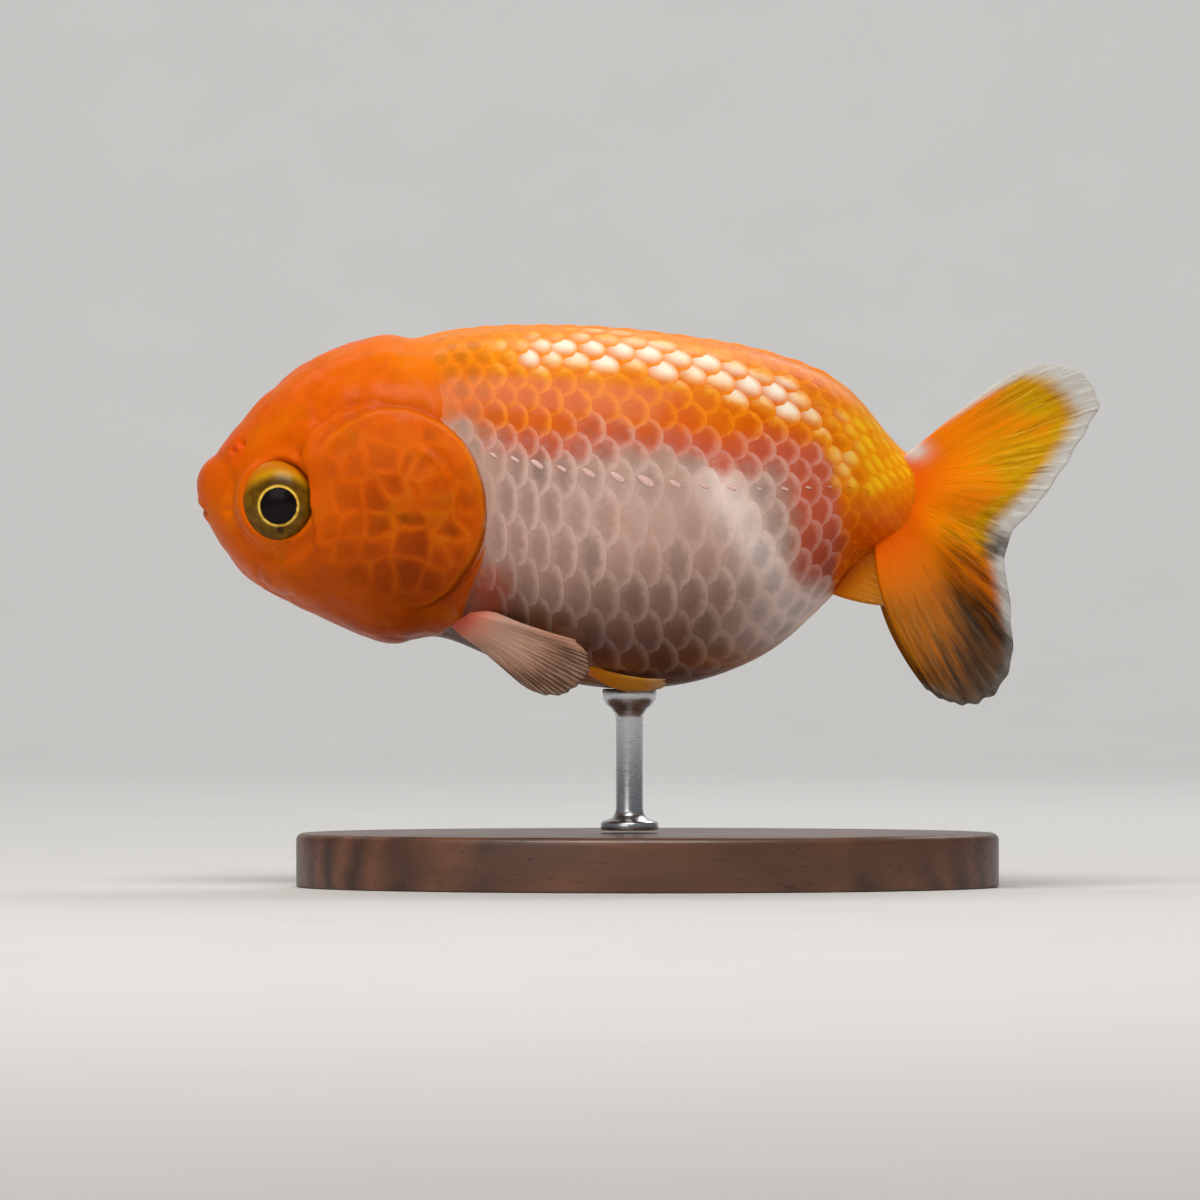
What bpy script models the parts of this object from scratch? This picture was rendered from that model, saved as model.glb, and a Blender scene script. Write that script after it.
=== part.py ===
"""A ranchu goldfish, life size and still, held on a small display stand.

The fish heads towards -X with its left side facing -Y, and +Z is up. One loft gives the whole
body; thin cuts part it into head, lower jaw, trunk and tail stalk. Fins are sheets of rays,
thick at the root and thin at the margin, and they stop just short of the body.
"""
import math

import bmesh
import bpy
import numpy as np
from mathutils import Matrix

MM = 0.001
GAP = 0.3  # clearance between neighbouring solids, in millimetres as all sizes below
FISH = "fancy_goldfish"
LEFT, RIGHT = -1, 1

# Body: heights are measured from a level line through the mouth and the middle of the stalk
AXIS_HEIGHT = 42.0  # that line above the table
SNOUT = -50.0
BODY_END = 33.0
RING_COUNT = 36
RING_POINTS = 32
BACK_LINE = (
    (SNOUT, 2.6), (-49.2, 4.9), (-48.0, 6.1), (-44.7, 10.0), (-41.3, 13.4), (-38.0, 16.0),
    (-34.7, 17.6), (-28.8, 19.2), (-26.0, 18.9), (-23.0, 19.6), (-9.7, 20.4), (3.6, 19.3),
    (13.6, 17.4), (20.3, 14.8), (23.6, 12.5), (26.9, 8.5), (29.5, 5.6), (BODY_END, 1.6),
)
UNDER_LINE = (
    (SNOUT, 2.6), (-49.5, 0.3), (-48.0, -2.9), (-46.3, -5.5), (-41.3, -9.6), (-36.3, -11.9),
    (-31.4, -14.2), (-28.0, -14.9), (-24.0, -14.2), (-16.4, -16.8), (-9.7, -19.1), (-1.4, -20.0),
    (8.6, -18.2), (13.6, -15.8), (20.3, -9.9), (23.6, -6.3), (28.5, -4.8), (BODY_END, 0.2),
)
HALF_WIDTH_LINE = (
    (SNOUT, 0.0), (-49.2, 3.7), (-47.4, 6.5), (-44.7, 9.1), (-41.3, 11.2), (-36.0, 13.2),
    (-28.0, 14.8), (-20.0, 15.3), (-8.0, 16.0), (2.0, 15.6), (9.0, 14.2), (15.0, 11.8),
    (20.3, 8.8), (25.0, 6.0), (29.5, 3.7), (BODY_END, 0.0),
)
WIDEST_AT = 0.45  # share of the depth, from below, where a section is widest
HEAD_POWER = 2.5  # superellipse power of the sections, boxy on the head
BODY_POWER = 2.1

# Parting cuts, in the side view
HEAD_CENTRE = (-39.0, 1.0)
HEAD_RADII = (22.4, 22.8)
STALK_FRONT = 21.6
MOUTH_CORNER = (-46.6, 0.0)
JAW_REAR = (-42.6, -11.0)

# Eyes and gill covers
EYE_AT = (-41.0, 0.6)
EYE_RADIUS = 4.8
EYE_DEPTH_RADIUS = 3.2
EYE_SINK = 1.5
EYE_TURN = math.radians(24)
GILL_CENTRE = (-27.7, -0.2)
GILL_RADII = (9.9, 10.9)
GILL_LIFT = 0.5  # how far the rear edge swings out from the shoulder
GILL_INNER = 1.2  # wall of the plate inside the cheek's surface
GILL_OUTER = 0.15

# Fins
ROOT_THICKNESS = 1.6
MARGIN_THICKNESS = 0.55

# Stand
BASE_LENGTH = 78.0
BASE_WIDTH = 46.0
BASE_THICKNESS = 6.0
ROD_AT = -2.0
ROD_RADIUS = 1.5
COLLAR_RADIUS = 3.2
CUP_RADIUS = 3.0
CUP_HEIGHT = 2.2

ORANGE = (0.80, 0.19, 0.006)
DEEP_ORANGE = (0.60, 0.12, 0.005)
PALE_PINK = (0.52, 0.36, 0.29)
EYE_BROWN = (0.16, 0.075, 0.006)
FIN_YELLOW = (0.60, 0.31, 0.04)
FIN_WHITE = (0.55, 0.42, 0.36)
TAIL_ORANGE = (0.72, 0.28, 0.05)
WALNUT = (0.055, 0.025, 0.012)
STEEL = (0.55, 0.55, 0.56)


def start():
    """Empty the scene and make one collection for the fish and one for its cutters."""
    for old in list(bpy.data.objects):
        bpy.data.objects.remove(old)
    collections = []
    for name in (FISH, "cutters"):
        made = bpy.data.collections.new(name)
        bpy.context.scene.collection.children.link(made)
        collections.append(made)
    return collections


def add_object(name, mesh, collection):
    made = bpy.data.objects.new(name, mesh)
    collection.objects.link(made)
    return made


def move_to(made, collection):
    for owner in list(made.users_collection):
        owner.objects.unlink(made)
    collection.objects.link(made)


def paint(made, colour, roughness=0.35, metallic=0.0):
    """Give one object its own Principled material."""
    material = bpy.data.materials.new(made.name)
    material.use_nodes = True
    shader = material.node_tree.nodes["Principled BSDF"]
    shader.inputs["Base Color"].default_value = (*colour, 1.0)
    shader.inputs["Roughness"].default_value = roughness
    shader.inputs["Metallic"].default_value = metallic
    made.data.materials.clear()
    made.data.materials.append(material)


def cutter(made):
    move_to(made, CUTTERS)
    made.hide_render = True
    made.display_type = "WIRE"
    return made


def cut(made, tool, operation="DIFFERENCE"):
    boolean = made.modifiers.new(f"{operation.lower()}_{tool.name}", "BOOLEAN")
    boolean.operation = operation
    boolean.solver = "EXACT"
    boolean.object = tool


def smooth(knots, at):
    """Cubic Hermite curve through the knots, each slope read from the knots beside it."""
    places, values = np.array(knots, float).T
    slopes = np.gradient(values, places)
    index = np.clip(np.searchsorted(places, at) - 1, 0, len(places) - 2)
    step = places[index + 1] - places[index]
    t = (at - places[index]) / step
    ends = values[index] * (1 + 2 * t) * (1 - t) ** 2 + values[index + 1] * t ** 2 * (3 - 2 * t)
    bends = slopes[index] * t * (1 - t) ** 2 - slopes[index + 1] * t ** 2 * (1 - t)
    return ends + step * bends


def rounded(line, x):
    """Read a line against the root of the distance to both ends, so both ends are round."""
    def stretch(place):
        fore = np.sqrt(np.maximum(place - SNOUT, 0))
        aft = np.sqrt(np.maximum(BODY_END - place, 0))
        return fore - aft
    knots = [(stretch(place), value) for place, value in line]
    return smooth(knots, stretch(np.asarray(x, float)))


def body_lines(x):
    """Back height, under height, half width, height of the widest place, and power at x."""
    back = rounded(BACK_LINE, x)
    under = rounded(UNDER_LINE, x)
    half = rounded(HALF_WIDTH_LINE, x)
    widest = under + WIDEST_AT * (back - under)
    rear = np.clip((np.asarray(x, float) - HEAD_CENTRE[0]) / (BODY_END - HEAD_CENTRE[0]), 0, 1)
    power = HEAD_POWER + (BODY_POWER - HEAD_POWER) * np.sqrt(rear)
    return back, under, half, widest, power


def flank(x, z):
    """Half width of the body at the place (x, z) of the side view."""
    back, under, half, widest, power = body_lines(x)
    reach = np.where(z > widest, back - widest, widest - under)
    share = np.clip(np.abs(z - widest) / reach, 0, 1)
    return half * (1 - share ** power) ** (1 / power)


def body_mesh(name, grow=0.0):
    """Loft superellipse rings from the snout to the tail core and close both ends."""
    share = np.linspace(0, 1, RING_COUNT)[1:-1]
    closer_at_ends = (1 - np.cos(math.pi * share)) / 2
    ring_x = SNOUT + (BODY_END - SNOUT) * (0.6 * closer_at_ends + 0.4 * share)
    back, under, half, widest, power = (value[:, None] for value in body_lines(ring_x))
    angle = np.linspace(0, 2 * math.pi, RING_POINTS, endpoint=False)[None, :]
    across = np.sign(np.cos(angle)) * np.abs(np.cos(angle)) ** (2 / power)
    upward = np.sign(np.sin(angle)) * np.abs(np.sin(angle)) ** (2 / power)
    reach = np.where(upward > 0, back - widest, widest - under) + grow
    y = across * (half + grow)
    z = widest + upward * reach
    x = np.broadcast_to(ring_x[:, None], y.shape)
    rings = np.stack((x, y, z + AXIS_HEIGHT), axis=-1) * MM
    rear_tip = (BACK_LINE[-1][1] + UNDER_LINE[-1][1]) / 2
    tips = [(SNOUT - grow, BACK_LINE[0][1]), (BODY_END + grow, rear_tip)]

    shape = bmesh.new()
    grid = [[shape.verts.new(point) for point in ring] for ring in rings]
    ends = [shape.verts.new((tip_x * MM, 0, (tip_z + AXIS_HEIGHT) * MM)) for tip_x, tip_z in tips]
    for row, following in zip(grid, grid[1:]):
        for i in range(RING_POINTS):
            j = (i + 1) % RING_POINTS
            shape.faces.new((row[i], row[j], following[j], following[i]))
    for i in range(RING_POINTS):
        j = (i + 1) % RING_POINTS
        shape.faces.new((grid[0][j], grid[0][i], ends[0]))
        shape.faces.new((grid[-1][i], grid[-1][j], ends[1]))
    bmesh.ops.recalc_face_normals(shape, faces=shape.faces)
    mesh = bpy.data.meshes.new(name)
    shape.to_mesh(mesh)
    shape.free()
    return mesh


def side_prism(name, outline, half_depth=25.0):
    """Cutter: an outline of the side view carried straight through the body."""
    shape = bmesh.new()
    near = [shape.verts.new((x * MM, -half_depth * MM, (z + AXIS_HEIGHT) * MM)) for x, z in outline]
    face = shape.faces.new(near)
    pulled = bmesh.ops.extrude_face_region(shape, geom=[face])["geom"]
    moved = [item for item in pulled if isinstance(item, bmesh.types.BMVert)]
    bmesh.ops.translate(shape, verts=moved, vec=(0, 2 * half_depth * MM, 0))
    bmesh.ops.recalc_face_normals(shape, faces=shape.faces)
    mesh = bpy.data.meshes.new(name)
    shape.to_mesh(mesh)
    shape.free()
    return cutter(add_object(name, mesh, CUTTERS))


def ellipse_outline(centre, radii, grow, count=48):
    angle = np.linspace(0, 2 * math.pi, count, endpoint=False)
    x = centre[0] + (radii[0] + grow) * np.cos(angle)
    z = centre[1] + (radii[1] + grow) * np.sin(angle)
    return list(zip(x, z))


def jaw_outline(grow):
    """Everything below the mouth slit and ahead of a line from its corner to the throat."""
    return [
        (SNOUT - 3, MOUTH_CORNER[1] + grow), (MOUTH_CORNER[0] + grow, MOUTH_CORNER[1] + grow),
        (JAW_REAR[0] + grow, JAW_REAR[1] + grow), (SNOUT - 3, JAW_REAR[1] - 3),
    ]


def eye_solid(name, side, grow):
    """A flattened ball, sunk in the cheek and turned a little forwards."""
    x, z = EYE_AT
    depth = float(flank(x, z)) - EYE_SINK
    bpy.ops.mesh.primitive_uv_sphere_add(segments=20, ring_count=10, radius=1)
    made = bpy.context.object
    made.name = name
    round_radius = (EYE_RADIUS + grow) * MM
    flat_radius = (EYE_DEPTH_RADIUS + grow) * MM
    made.data.transform(Matrix.Diagonal((round_radius, round_radius, flat_radius, 1)))
    made.data.transform(Matrix.Rotation(math.pi / 2, 4, "X"))
    made.rotation_euler = (0, 0, side * EYE_TURN)
    made.location = (x * MM, side * depth * MM, (z + AXIS_HEIGHT) * MM)
    return made


def gill_plate(name, side, grow, lift, walls, collection):
    """An oval patch of the cheek, its rear edge swung out by lift, walled by Solidify."""
    inner, outer = walls
    angles = np.linspace(0, 2 * math.pi, 28, endpoint=False)
    shape = bmesh.new()

    def corner(share, angle):
        x = GILL_CENTRE[0] + (GILL_RADII[0] + grow) * share * math.cos(angle)
        z = GILL_CENTRE[1] + (GILL_RADII[1] + grow) * share * math.sin(angle)
        rearness = (1 + share * math.cos(angle)) / 2
        y = side * (float(flank(x, z)) + lift * rearness)
        return shape.verts.new((x * MM, y * MM, (z + AXIS_HEIGHT) * MM))

    hub = corner(0, 0)
    rings = [[corner(share, angle) for angle in angles] for share in (0.3, 0.58, 0.82, 1.0)]
    for i in range(len(angles)):
        j = (i + 1) % len(angles)
        shape.faces.new((hub, rings[0][i], rings[0][j]))
        for near, far in zip(rings, rings[1:]):
            shape.faces.new((near[i], far[i], far[j], near[j]))
    if side == RIGHT:
        bmesh.ops.reverse_faces(shape, faces=shape.faces)
    mesh = bpy.data.meshes.new(name)
    shape.to_mesh(mesh)
    shape.free()
    made = add_object(name, mesh, collection)
    wall = made.modifiers.new("wall", "SOLIDIFY")
    wall.thickness = (inner + outer) * MM
    wall.offset = (outer - inner) / (outer + inner)
    return made


def fin_sheet(name, side, rays, cells, root=ROOT_THICKNESS, bow_power=1):
    """A sheet swept over key rays (root, bow, tip), thinning from root to margin.

    A point at share u of a ray is root + u (tip - root) + w bow, where w is u^p (1 - u) scaled
    to 1 at its peak, and the rays between the key ones lie on a smooth curve through them.
    """
    along, across = cells
    roots, bows, tips = (np.array([ray[i] for ray in rays], float) for i in range(3))
    places = np.linspace(0, 1, len(rays))
    v = np.linspace(0, 1, across + 1)
    between = [
        np.stack([smooth(list(zip(places, column)), v) for column in part.T], axis=-1)
        for part in (roots, bows, tips)
    ]
    u = np.linspace(0, 1, along + 1)[None, :, None]
    root_line, bow_line, tip_line = (part[:, None, :] for part in between)
    peak = bow_power ** bow_power / (bow_power + 1) ** (bow_power + 1)
    bow_share = u ** bow_power * (1 - u) / peak
    points = root_line + u * (tip_line - root_line) + bow_share * bow_line
    points = points * (1, side, 1) + (0, 0, AXIS_HEIGHT)

    shape = bmesh.new()
    grid = [[shape.verts.new(point * MM) for point in row] for row in points]
    for row, following in zip(grid, grid[1:]):
        for i in range(along):
            corners = (row[i], following[i], following[i + 1], row[i + 1])
            shape.faces.new(corners if side == RIGHT else corners[::-1])
    mesh = bpy.data.meshes.new(name)
    shape.to_mesh(mesh)
    shape.free()
    made = add_object(name, mesh, FISH_PARTS)
    thin = made.vertex_groups.new(name="thickness")
    for i in range(along + 1):
        column = [j * (along + 1) + i for j in range(across + 1)]
        thin.add(column, 1 - i / along, "REPLACE")
    wall = made.modifiers.new("wall", "SOLIDIFY")
    wall.thickness = root * MM
    wall.offset = 0
    wall.vertex_group = "thickness"
    wall.thickness_vertex_group = MARGIN_THICKNESS / root
    cut(made, BODY_CUTTER)
    return made


def make_head():
    made = add_object("head", body_mesh("head"), FISH_PARTS)
    outline = ellipse_outline(HEAD_CENTRE, HEAD_RADII, 0)
    cut(made, side_prism("head_outline", outline), "INTERSECT")
    cut(made, side_prism("jaw_room", jaw_outline(GAP)))
    for side in (LEFT, RIGHT):
        cut(made, GILL_ROOM[side])
        cut(made, EYE_SOCKET[side])
    paint(made, ORANGE, 0.3)


def make_lower_jaw():
    made = add_object("lower_jaw", body_mesh("lower_jaw"), FISH_PARTS)
    cut(made, side_prism("jaw_outline", jaw_outline(0)), "INTERSECT")
    paint(made, DEEP_ORANGE, 0.3)


def make_eyes_and_gill_covers():
    for side, word in ((LEFT, "left"), (RIGHT, "right")):
        eye = eye_solid(f"eye_{word}", side, 0)
        move_to(eye, FISH_PARTS)
        paint(eye, EYE_BROWN, 0.08)
        walls = (GILL_INNER, GILL_OUTER)
        cover = gill_plate(f"gill_cover_{word}", side, 0, GILL_LIFT, walls, FISH_PARTS)
        cut(cover, EYE_SOCKET[side])
        paint(cover, DEEP_ORANGE, 0.3)


def make_trunk():
    made = add_object("trunk", body_mesh("trunk"), FISH_PARTS)
    cut(made, side_prism("head_room", ellipse_outline(HEAD_CENTRE, HEAD_RADII, GAP)))
    cut(made, STALK_ROOM)
    paint(made, PALE_PINK, 0.3)


def make_tail_stalk():
    made = add_object("tail_stalk", body_mesh("tail_stalk"), FISH_PARTS)
    cut(made, STALK_OUTLINE, "INTERSECT")
    paint(made, ORANGE, 0.3)


def stalk_block(name, front):
    return side_prism(name, [(front, -25), (BODY_END + 5, -25), (BODY_END + 5, 25), (front, 25)])


def make_fins():
    """Each pair is one set of key rays, given for y outwards and mirrored for the other side."""
    pectoral = (
        ((-19.0, 10.9, -10.9), (0.0, 1.3, -0.1), (-8.1, 15.6, -14.5)),
        ((-19.4, 10.3, -11.5), (0.0, 1.3, 0.0), (-6.5, 16.2, -16.4)),
        ((-19.8, 9.6, -12.0), (0.0, 1.2, 0.0), (-6.8, 16.6, -18.6)),
        ((-20.1, 8.9, -12.5), (0.0, 1.0, 0.0), (-9.0, 16.4, -20.4)),
        ((-20.3, 8.1, -12.9), (0.0, 0.8, 0.0), (-12.0, 15.0, -20.4)),
        ((-20.5, 7.4, -13.3), (0.0, 0.6, 0.0), (-14.6, 13.0, -18.6)),
    )
    pelvic = (
        ((-10.4, 6.8, -15.6), (0.0, 0.7, -0.8), (1.8, 8.6, -18.9)),
        ((-9.6, 6.2, -16.0), (0.0, 0.7, -0.9), (1.9, 7.7, -19.6)),
        ((-8.6, 5.6, -16.4), (0.0, 0.6, -0.9), (0.4, 6.7, -20.1)),
        ((-7.6, 5.2, -16.8), (0.0, 0.4, -0.7), (-2.4, 5.9, -20.2)),
    )
    anal = (
        ((19.8, 1.2, -9.2), (0.0, 0.1, -0.3), (26.4, 1.9, -10.8)),
        ((21.2, 1.2, -7.4), (0.0, 0.1, -0.2), (28.0, 2.1, -10.2)),
        ((22.8, 1.2, -5.6), (0.0, 0.1, 0.0), (28.6, 2.2, -8.6)),
        ((24.2, 1.2, -4.2), (0.0, 0.1, 0.0), (28.2, 2.1, -6.8)),
    )
    tail_upper = (
        ((27.4, 0.9, 5.1), (0.2, 0.4, 1.2), (43.4, 6.4, 15.9)),
        ((28.2, 1.2, 4.2), (0.0, 0.5, 0.9), (47.4, 8.0, 15.1)),
        ((28.6, 1.5, 3.3), (0.0, 0.6, 0.5), (49.6, 9.0, 11.9)),
        ((28.9, 1.8, 2.6), (0.0, 0.7, 0.2), (47.2, 9.8, 6.8)),
        ((29.0, 2.0, 1.8), (0.0, 0.8, 0.0), (43.9, 10.2, 1.6)),
        ((29.0, 2.1, 1.0), (0.0, 0.8, 0.0), (39.7, 9.4, -3.9)),
    )
    tail_lower = (
        ((29.0, 2.15, 0.65), (0.0, 0.8, 0.0), (39.4, 9.6, -4.25)),
        ((28.8, 2.3, -0.5), (0.0, 0.8, 0.0), (39.7, 12.0, -10.2)),
        ((28.3, 2.4, -1.4), (-0.2, 0.7, 0.0), (39.7, 14.6, -17.0)),
        ((27.5, 2.4, -2.3), (-0.6, 0.6, 0.0), (37.0, 16.0, -21.1)),
        ((26.4, 2.3, -3.2), (-1.2, 0.5, 0.0), (34.0, 15.6, -21.7)),
        ((25.2, 2.1, -4.0), (-1.8, 0.4, 0.0), (31.5, 14.2, -20.3)),
    )
    for side, word in ((LEFT, "left"), (RIGHT, "right")):
        paint(fin_sheet(f"pectoral_fin_{word}", side, pectoral, (7, 9)), FIN_WHITE, 0.3)
        paint(fin_sheet(f"pelvic_fin_{word}", side, pelvic, (7, 5), 1.0), FIN_YELLOW, 0.3)
        paint(fin_sheet(f"anal_fin_{word}", side, anal, (6, 5), 1.0), FIN_YELLOW, 0.3)
        upper = fin_sheet(f"tail_fin_{word}_upper", side, tail_upper, (8, 12), bow_power=2)
        lower = fin_sheet(f"tail_fin_{word}_lower", side, tail_lower, (8, 12))
        paint(upper, TAIL_ORANGE, 0.3)
        paint(lower, TAIL_ORANGE, 0.3)


def make_stand_base():
    """An oval plinth with its edges eased."""
    bpy.ops.mesh.primitive_cylinder_add(vertices=48, radius=1, depth=1)
    made = bpy.context.object
    made.name = "stand_base"
    sizes = (BASE_LENGTH / 2 * MM, BASE_WIDTH / 2 * MM, BASE_THICKNESS * MM, 1)
    made.data.transform(Matrix.Diagonal(sizes))
    made.location = (0, 0, BASE_THICKNESS / 2 * MM)
    edge = made.modifiers.new("eased_edge", "BEVEL")
    edge.width = 0.8 * MM
    edge.segments = 1
    edge.limit_method = "ANGLE"
    edge.angle_limit = math.radians(60)
    move_to(made, FISH_PARTS)
    paint(made, WALNUT, 0.4)


def make_stand_rod():
    """A turned rod: collar on the base, plain shank, and a cup hollowed to the belly."""
    belly = AXIS_HEIGHT + float(body_lines(ROD_AT)[1])
    foot = BASE_THICKNESS + GAP
    profile = (
        (0, belly + 1), (CUP_RADIUS, belly + 1), (CUP_RADIUS, belly - CUP_HEIGHT / 2),
        (ROD_RADIUS, belly - CUP_HEIGHT), (ROD_RADIUS, foot + 2), (COLLAR_RADIUS, foot + 1),
        (COLLAR_RADIUS, foot), (0, foot),
    )
    mesh = bpy.data.meshes.new("stand_rod")
    points = [(radius * MM, 0, height * MM) for radius, height in profile]
    mesh.from_pydata(points, [(i, i + 1) for i in range(len(points) - 1)], [])
    made = add_object("stand_rod", mesh, FISH_PARTS)
    made.location = (ROD_AT * MM, 0, 0)
    turned = made.modifiers.new("turned", "SCREW")
    turned.steps = 24
    turned.render_steps = 24
    turned.use_merge_vertices = True
    turned.merge_threshold = 0.00001
    cut(made, BODY_CUTTER)
    paint(made, STEEL, 0.25, 1.0)


FISH_PARTS, CUTTERS = start()
BODY_CUTTER = cutter(add_object("body_room", body_mesh("body_room", GAP), CUTTERS))
STALK_OUTLINE = stalk_block("stalk_outline", STALK_FRONT)
STALK_ROOM = stalk_block("stalk_room", STALK_FRONT - GAP)
EYE_SOCKET = {}
GILL_ROOM = {}
for body_side in (LEFT, RIGHT):
    EYE_SOCKET[body_side] = cutter(eye_solid(f"socket{body_side}", body_side, GAP))
    room_walls = (GILL_INNER + GAP, 3)
    room = gill_plate(f"gill_room{body_side}", body_side, GAP, 0, room_walls, CUTTERS)
    GILL_ROOM[body_side] = cutter(room)
make_head()
make_lower_jaw()
make_eyes_and_gill_covers()
make_trunk()
make_tail_stalk()
make_fins()
make_stand_base()
make_stand_rod()
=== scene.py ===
import itertools
import math

import bpy
import numpy as np
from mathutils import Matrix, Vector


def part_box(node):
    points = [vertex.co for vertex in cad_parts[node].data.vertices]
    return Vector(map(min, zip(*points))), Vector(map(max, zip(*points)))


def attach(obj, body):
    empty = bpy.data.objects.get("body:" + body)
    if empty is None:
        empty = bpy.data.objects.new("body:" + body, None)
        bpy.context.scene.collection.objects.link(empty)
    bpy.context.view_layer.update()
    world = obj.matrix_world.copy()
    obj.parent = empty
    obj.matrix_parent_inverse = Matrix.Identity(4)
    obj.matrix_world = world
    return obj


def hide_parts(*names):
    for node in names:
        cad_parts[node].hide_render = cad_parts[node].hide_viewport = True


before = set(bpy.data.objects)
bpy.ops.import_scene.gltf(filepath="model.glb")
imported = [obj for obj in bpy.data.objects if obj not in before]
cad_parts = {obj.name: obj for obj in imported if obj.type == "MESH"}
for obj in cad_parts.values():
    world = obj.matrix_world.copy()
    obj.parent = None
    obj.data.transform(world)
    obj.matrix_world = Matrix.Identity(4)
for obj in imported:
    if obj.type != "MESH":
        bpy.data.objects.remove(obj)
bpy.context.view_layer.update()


# ---------------------------------------------------------------------------------------------
# Skin
# The flesh of the fish in one unbroken skin, from the lips to the end of the tail stalk. It is
# the plain egg-shaped body, with the face, gill covers and throat worked into its surface, and
# it lies a little deeper wherever scales cover it.
# ---------------------------------------------------------------------------------------------
# The body is drawn in millimetres, with heights from the level of the mouth
SNOUT, BODY_END = -50.0, 33.0
BACK_LINE = (
    (SNOUT, 2.6), (-49.2, 4.9), (-48.0, 6.1), (-44.7, 10.0), (-41.3, 13.4), (-38.0, 16.0),
    (-34.7, 17.6), (-28.8, 19.2), (-26.0, 18.9), (-23.0, 19.6), (-9.7, 20.4), (3.6, 19.3),
    (13.6, 17.4), (20.3, 14.8), (23.6, 12.5), (26.9, 8.5), (29.5, 5.6), (BODY_END, 1.6),
)
UNDER_LINE = (
    (SNOUT, 2.6), (-49.5, 0.3), (-48.0, -2.9), (-46.3, -5.5), (-41.3, -9.6), (-36.3, -11.9),
    (-31.4, -14.2), (-28.0, -14.9), (-24.0, -14.2), (-16.4, -16.8), (-9.7, -19.1), (-1.4, -20.0),
    (8.6, -18.2), (13.6, -15.8), (20.3, -9.9), (23.6, -6.3), (28.5, -4.8), (BODY_END, 0.2),
)
HALF_WIDTH_LINE = (
    (SNOUT, 0.0), (-49.2, 3.7), (-47.4, 6.5), (-44.7, 9.1), (-41.3, 11.2), (-36.0, 13.2),
    (-28.0, 14.8), (-20.0, 15.3), (-8.0, 16.0), (2.0, 15.6), (9.0, 14.2), (15.0, 11.8),
    (20.3, 8.8), (25.0, 6.0), (29.5, 3.7), (BODY_END, 0.0),
)
WIDEST_AT = 0.45
HEAD_POWER, BODY_POWER = 2.5, 2.1
POWER_FROM = -39.0
# Rear edge of the naked head, as (height, place): nape, gill cover's rim, throat
HEAD_REAR = (
    (-20.0, -25.5), (-15.0, -24.5), (-12.9, -21.6), (-9.0, -19.8), (-5.7, -18.2), (-2.4, -17.9),
    (0.9, -18.7), (4.3, -20.6), (7.6, -22.0), (12.0, -23.2), (16.0, -24.6), (21.0, -26.0),
)
COAT_DEPTH = 0.36
HEAD_LENGTH = 33.0
HEAD_SECTIONS, REAR_SECTIONS, RING_POINTS = 190, 104, 320
EYE_AT = (-41.0, 0.6)
EYE_RADII = (4.8, 4.8, 3.2)
EYE_SINK = 1.5
EYE_TURN = math.radians(24)
LID_THICKNESS = 0.14
CELL_SIZE = 3.1
LUMP_SIZE = 4.6
# Ovals of the side view, as (place, height, half length, half height)
LID_OPENING = (-40.6, 0.85, 3.85, 4.4)
GILL_COVER = (-27.7, -0.2, 9.9, 10.9)
CHEEK_ARCH = (-30.0, 3.0, 8.3, 8.2)
LIP_FOLD = (-50.5, 1.4, 4.9, 5.6)
CHIN_FOLD = (-50.0, -1.5, 5.6, 4.6)
JOWL_LUMP = (-39.5, -6.9, 1.15, 1.0)
NET_MIDDLE = (-25.0, -1.5, 7.0, 7.0)
# Small round forms, as (place, height, size, rise, how far out from the middle they begin)
ROUND_FORMS = {
    "front nostril": (-45.75, 6.35, 0.38, -0.35, 1.5),
    "rear nostril": (-44.75, 7.05, 0.42, -0.4, 1.5),
    "flap between the nostrils": (-45.25, 6.7, 0.4, 0.16, 1.5),
    "corner of the mouth": (-46.45, -0.3, 0.5, -0.2, 2.0),
    "lower corner of the gill cover": (-20.6, -10.6, 0.75, 0.45, 4.0),
    "root of the pectoral fin": (-19.4, -12.0, 2.1, 0.8, 3.0),
    "root of the pelvic fin": (-8.9, -15.6, 1.8, 0.5, 3.0),
}
SIDES = ((-1, "left"), (1, "right"))

# Where the drawing meets the shared frame, and the metres in one of its millimetres
snout_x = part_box("head")[0].x
axis_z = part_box("lower_jaw")[1].z
UNIT = (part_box("tail_stalk")[1].x - snout_x) / (BODY_END - SNOUT)


def to_frame(points):
    """Metres in the shared frame: the drawing scaled so that snout and stalk end meet the CAD."""
    return np.asarray(points) * UNIT + (snout_x - SNOUT * UNIT, 0.0, axis_z)


def curve_through(knots, at):
    """Cubic Hermite curve through the knots, each slope read from the knots beside it."""
    places, values = np.array(knots, float).T
    slopes = np.gradient(values, places)
    at = np.clip(at, places[0], places[-1])
    index = np.clip(np.searchsorted(places, at) - 1, 0, len(places) - 2)
    gap = places[index + 1] - places[index]
    t = (at - places[index]) / gap
    ends = values[index] * (1 + 2 * t) * (1 - t) ** 2 + values[index + 1] * t ** 2 * (3 - 2 * t)
    bends = slopes[index] * t * (1 - t) ** 2 - slopes[index + 1] * t ** 2 * (1 - t)
    return ends + gap * bends


def body_line(line, x):
    """A side-view line read against root(x - snout) - root(end - x), so both ends are round."""
    def stretch(place):
        return np.sqrt(np.maximum(place - SNOUT, 0)) - np.sqrt(np.maximum(BODY_END - place, 0))
    return curve_through([(stretch(place), value) for place, value in line], stretch(x))


def section(x):
    """Back, under, half width, widest height and superellipse power of the body at x."""
    back, under = body_line(BACK_LINE, x), body_line(UNDER_LINE, x)
    half = body_line(HALF_WIDTH_LINE, x)
    rear = np.clip((x - POWER_FROM) / (BODY_END - POWER_FROM), 0, 1)
    power = HEAD_POWER + (BODY_POWER - HEAD_POWER) * np.sqrt(rear)
    return back, under, half, under + WIDEST_AT * (back - under), power


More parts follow.
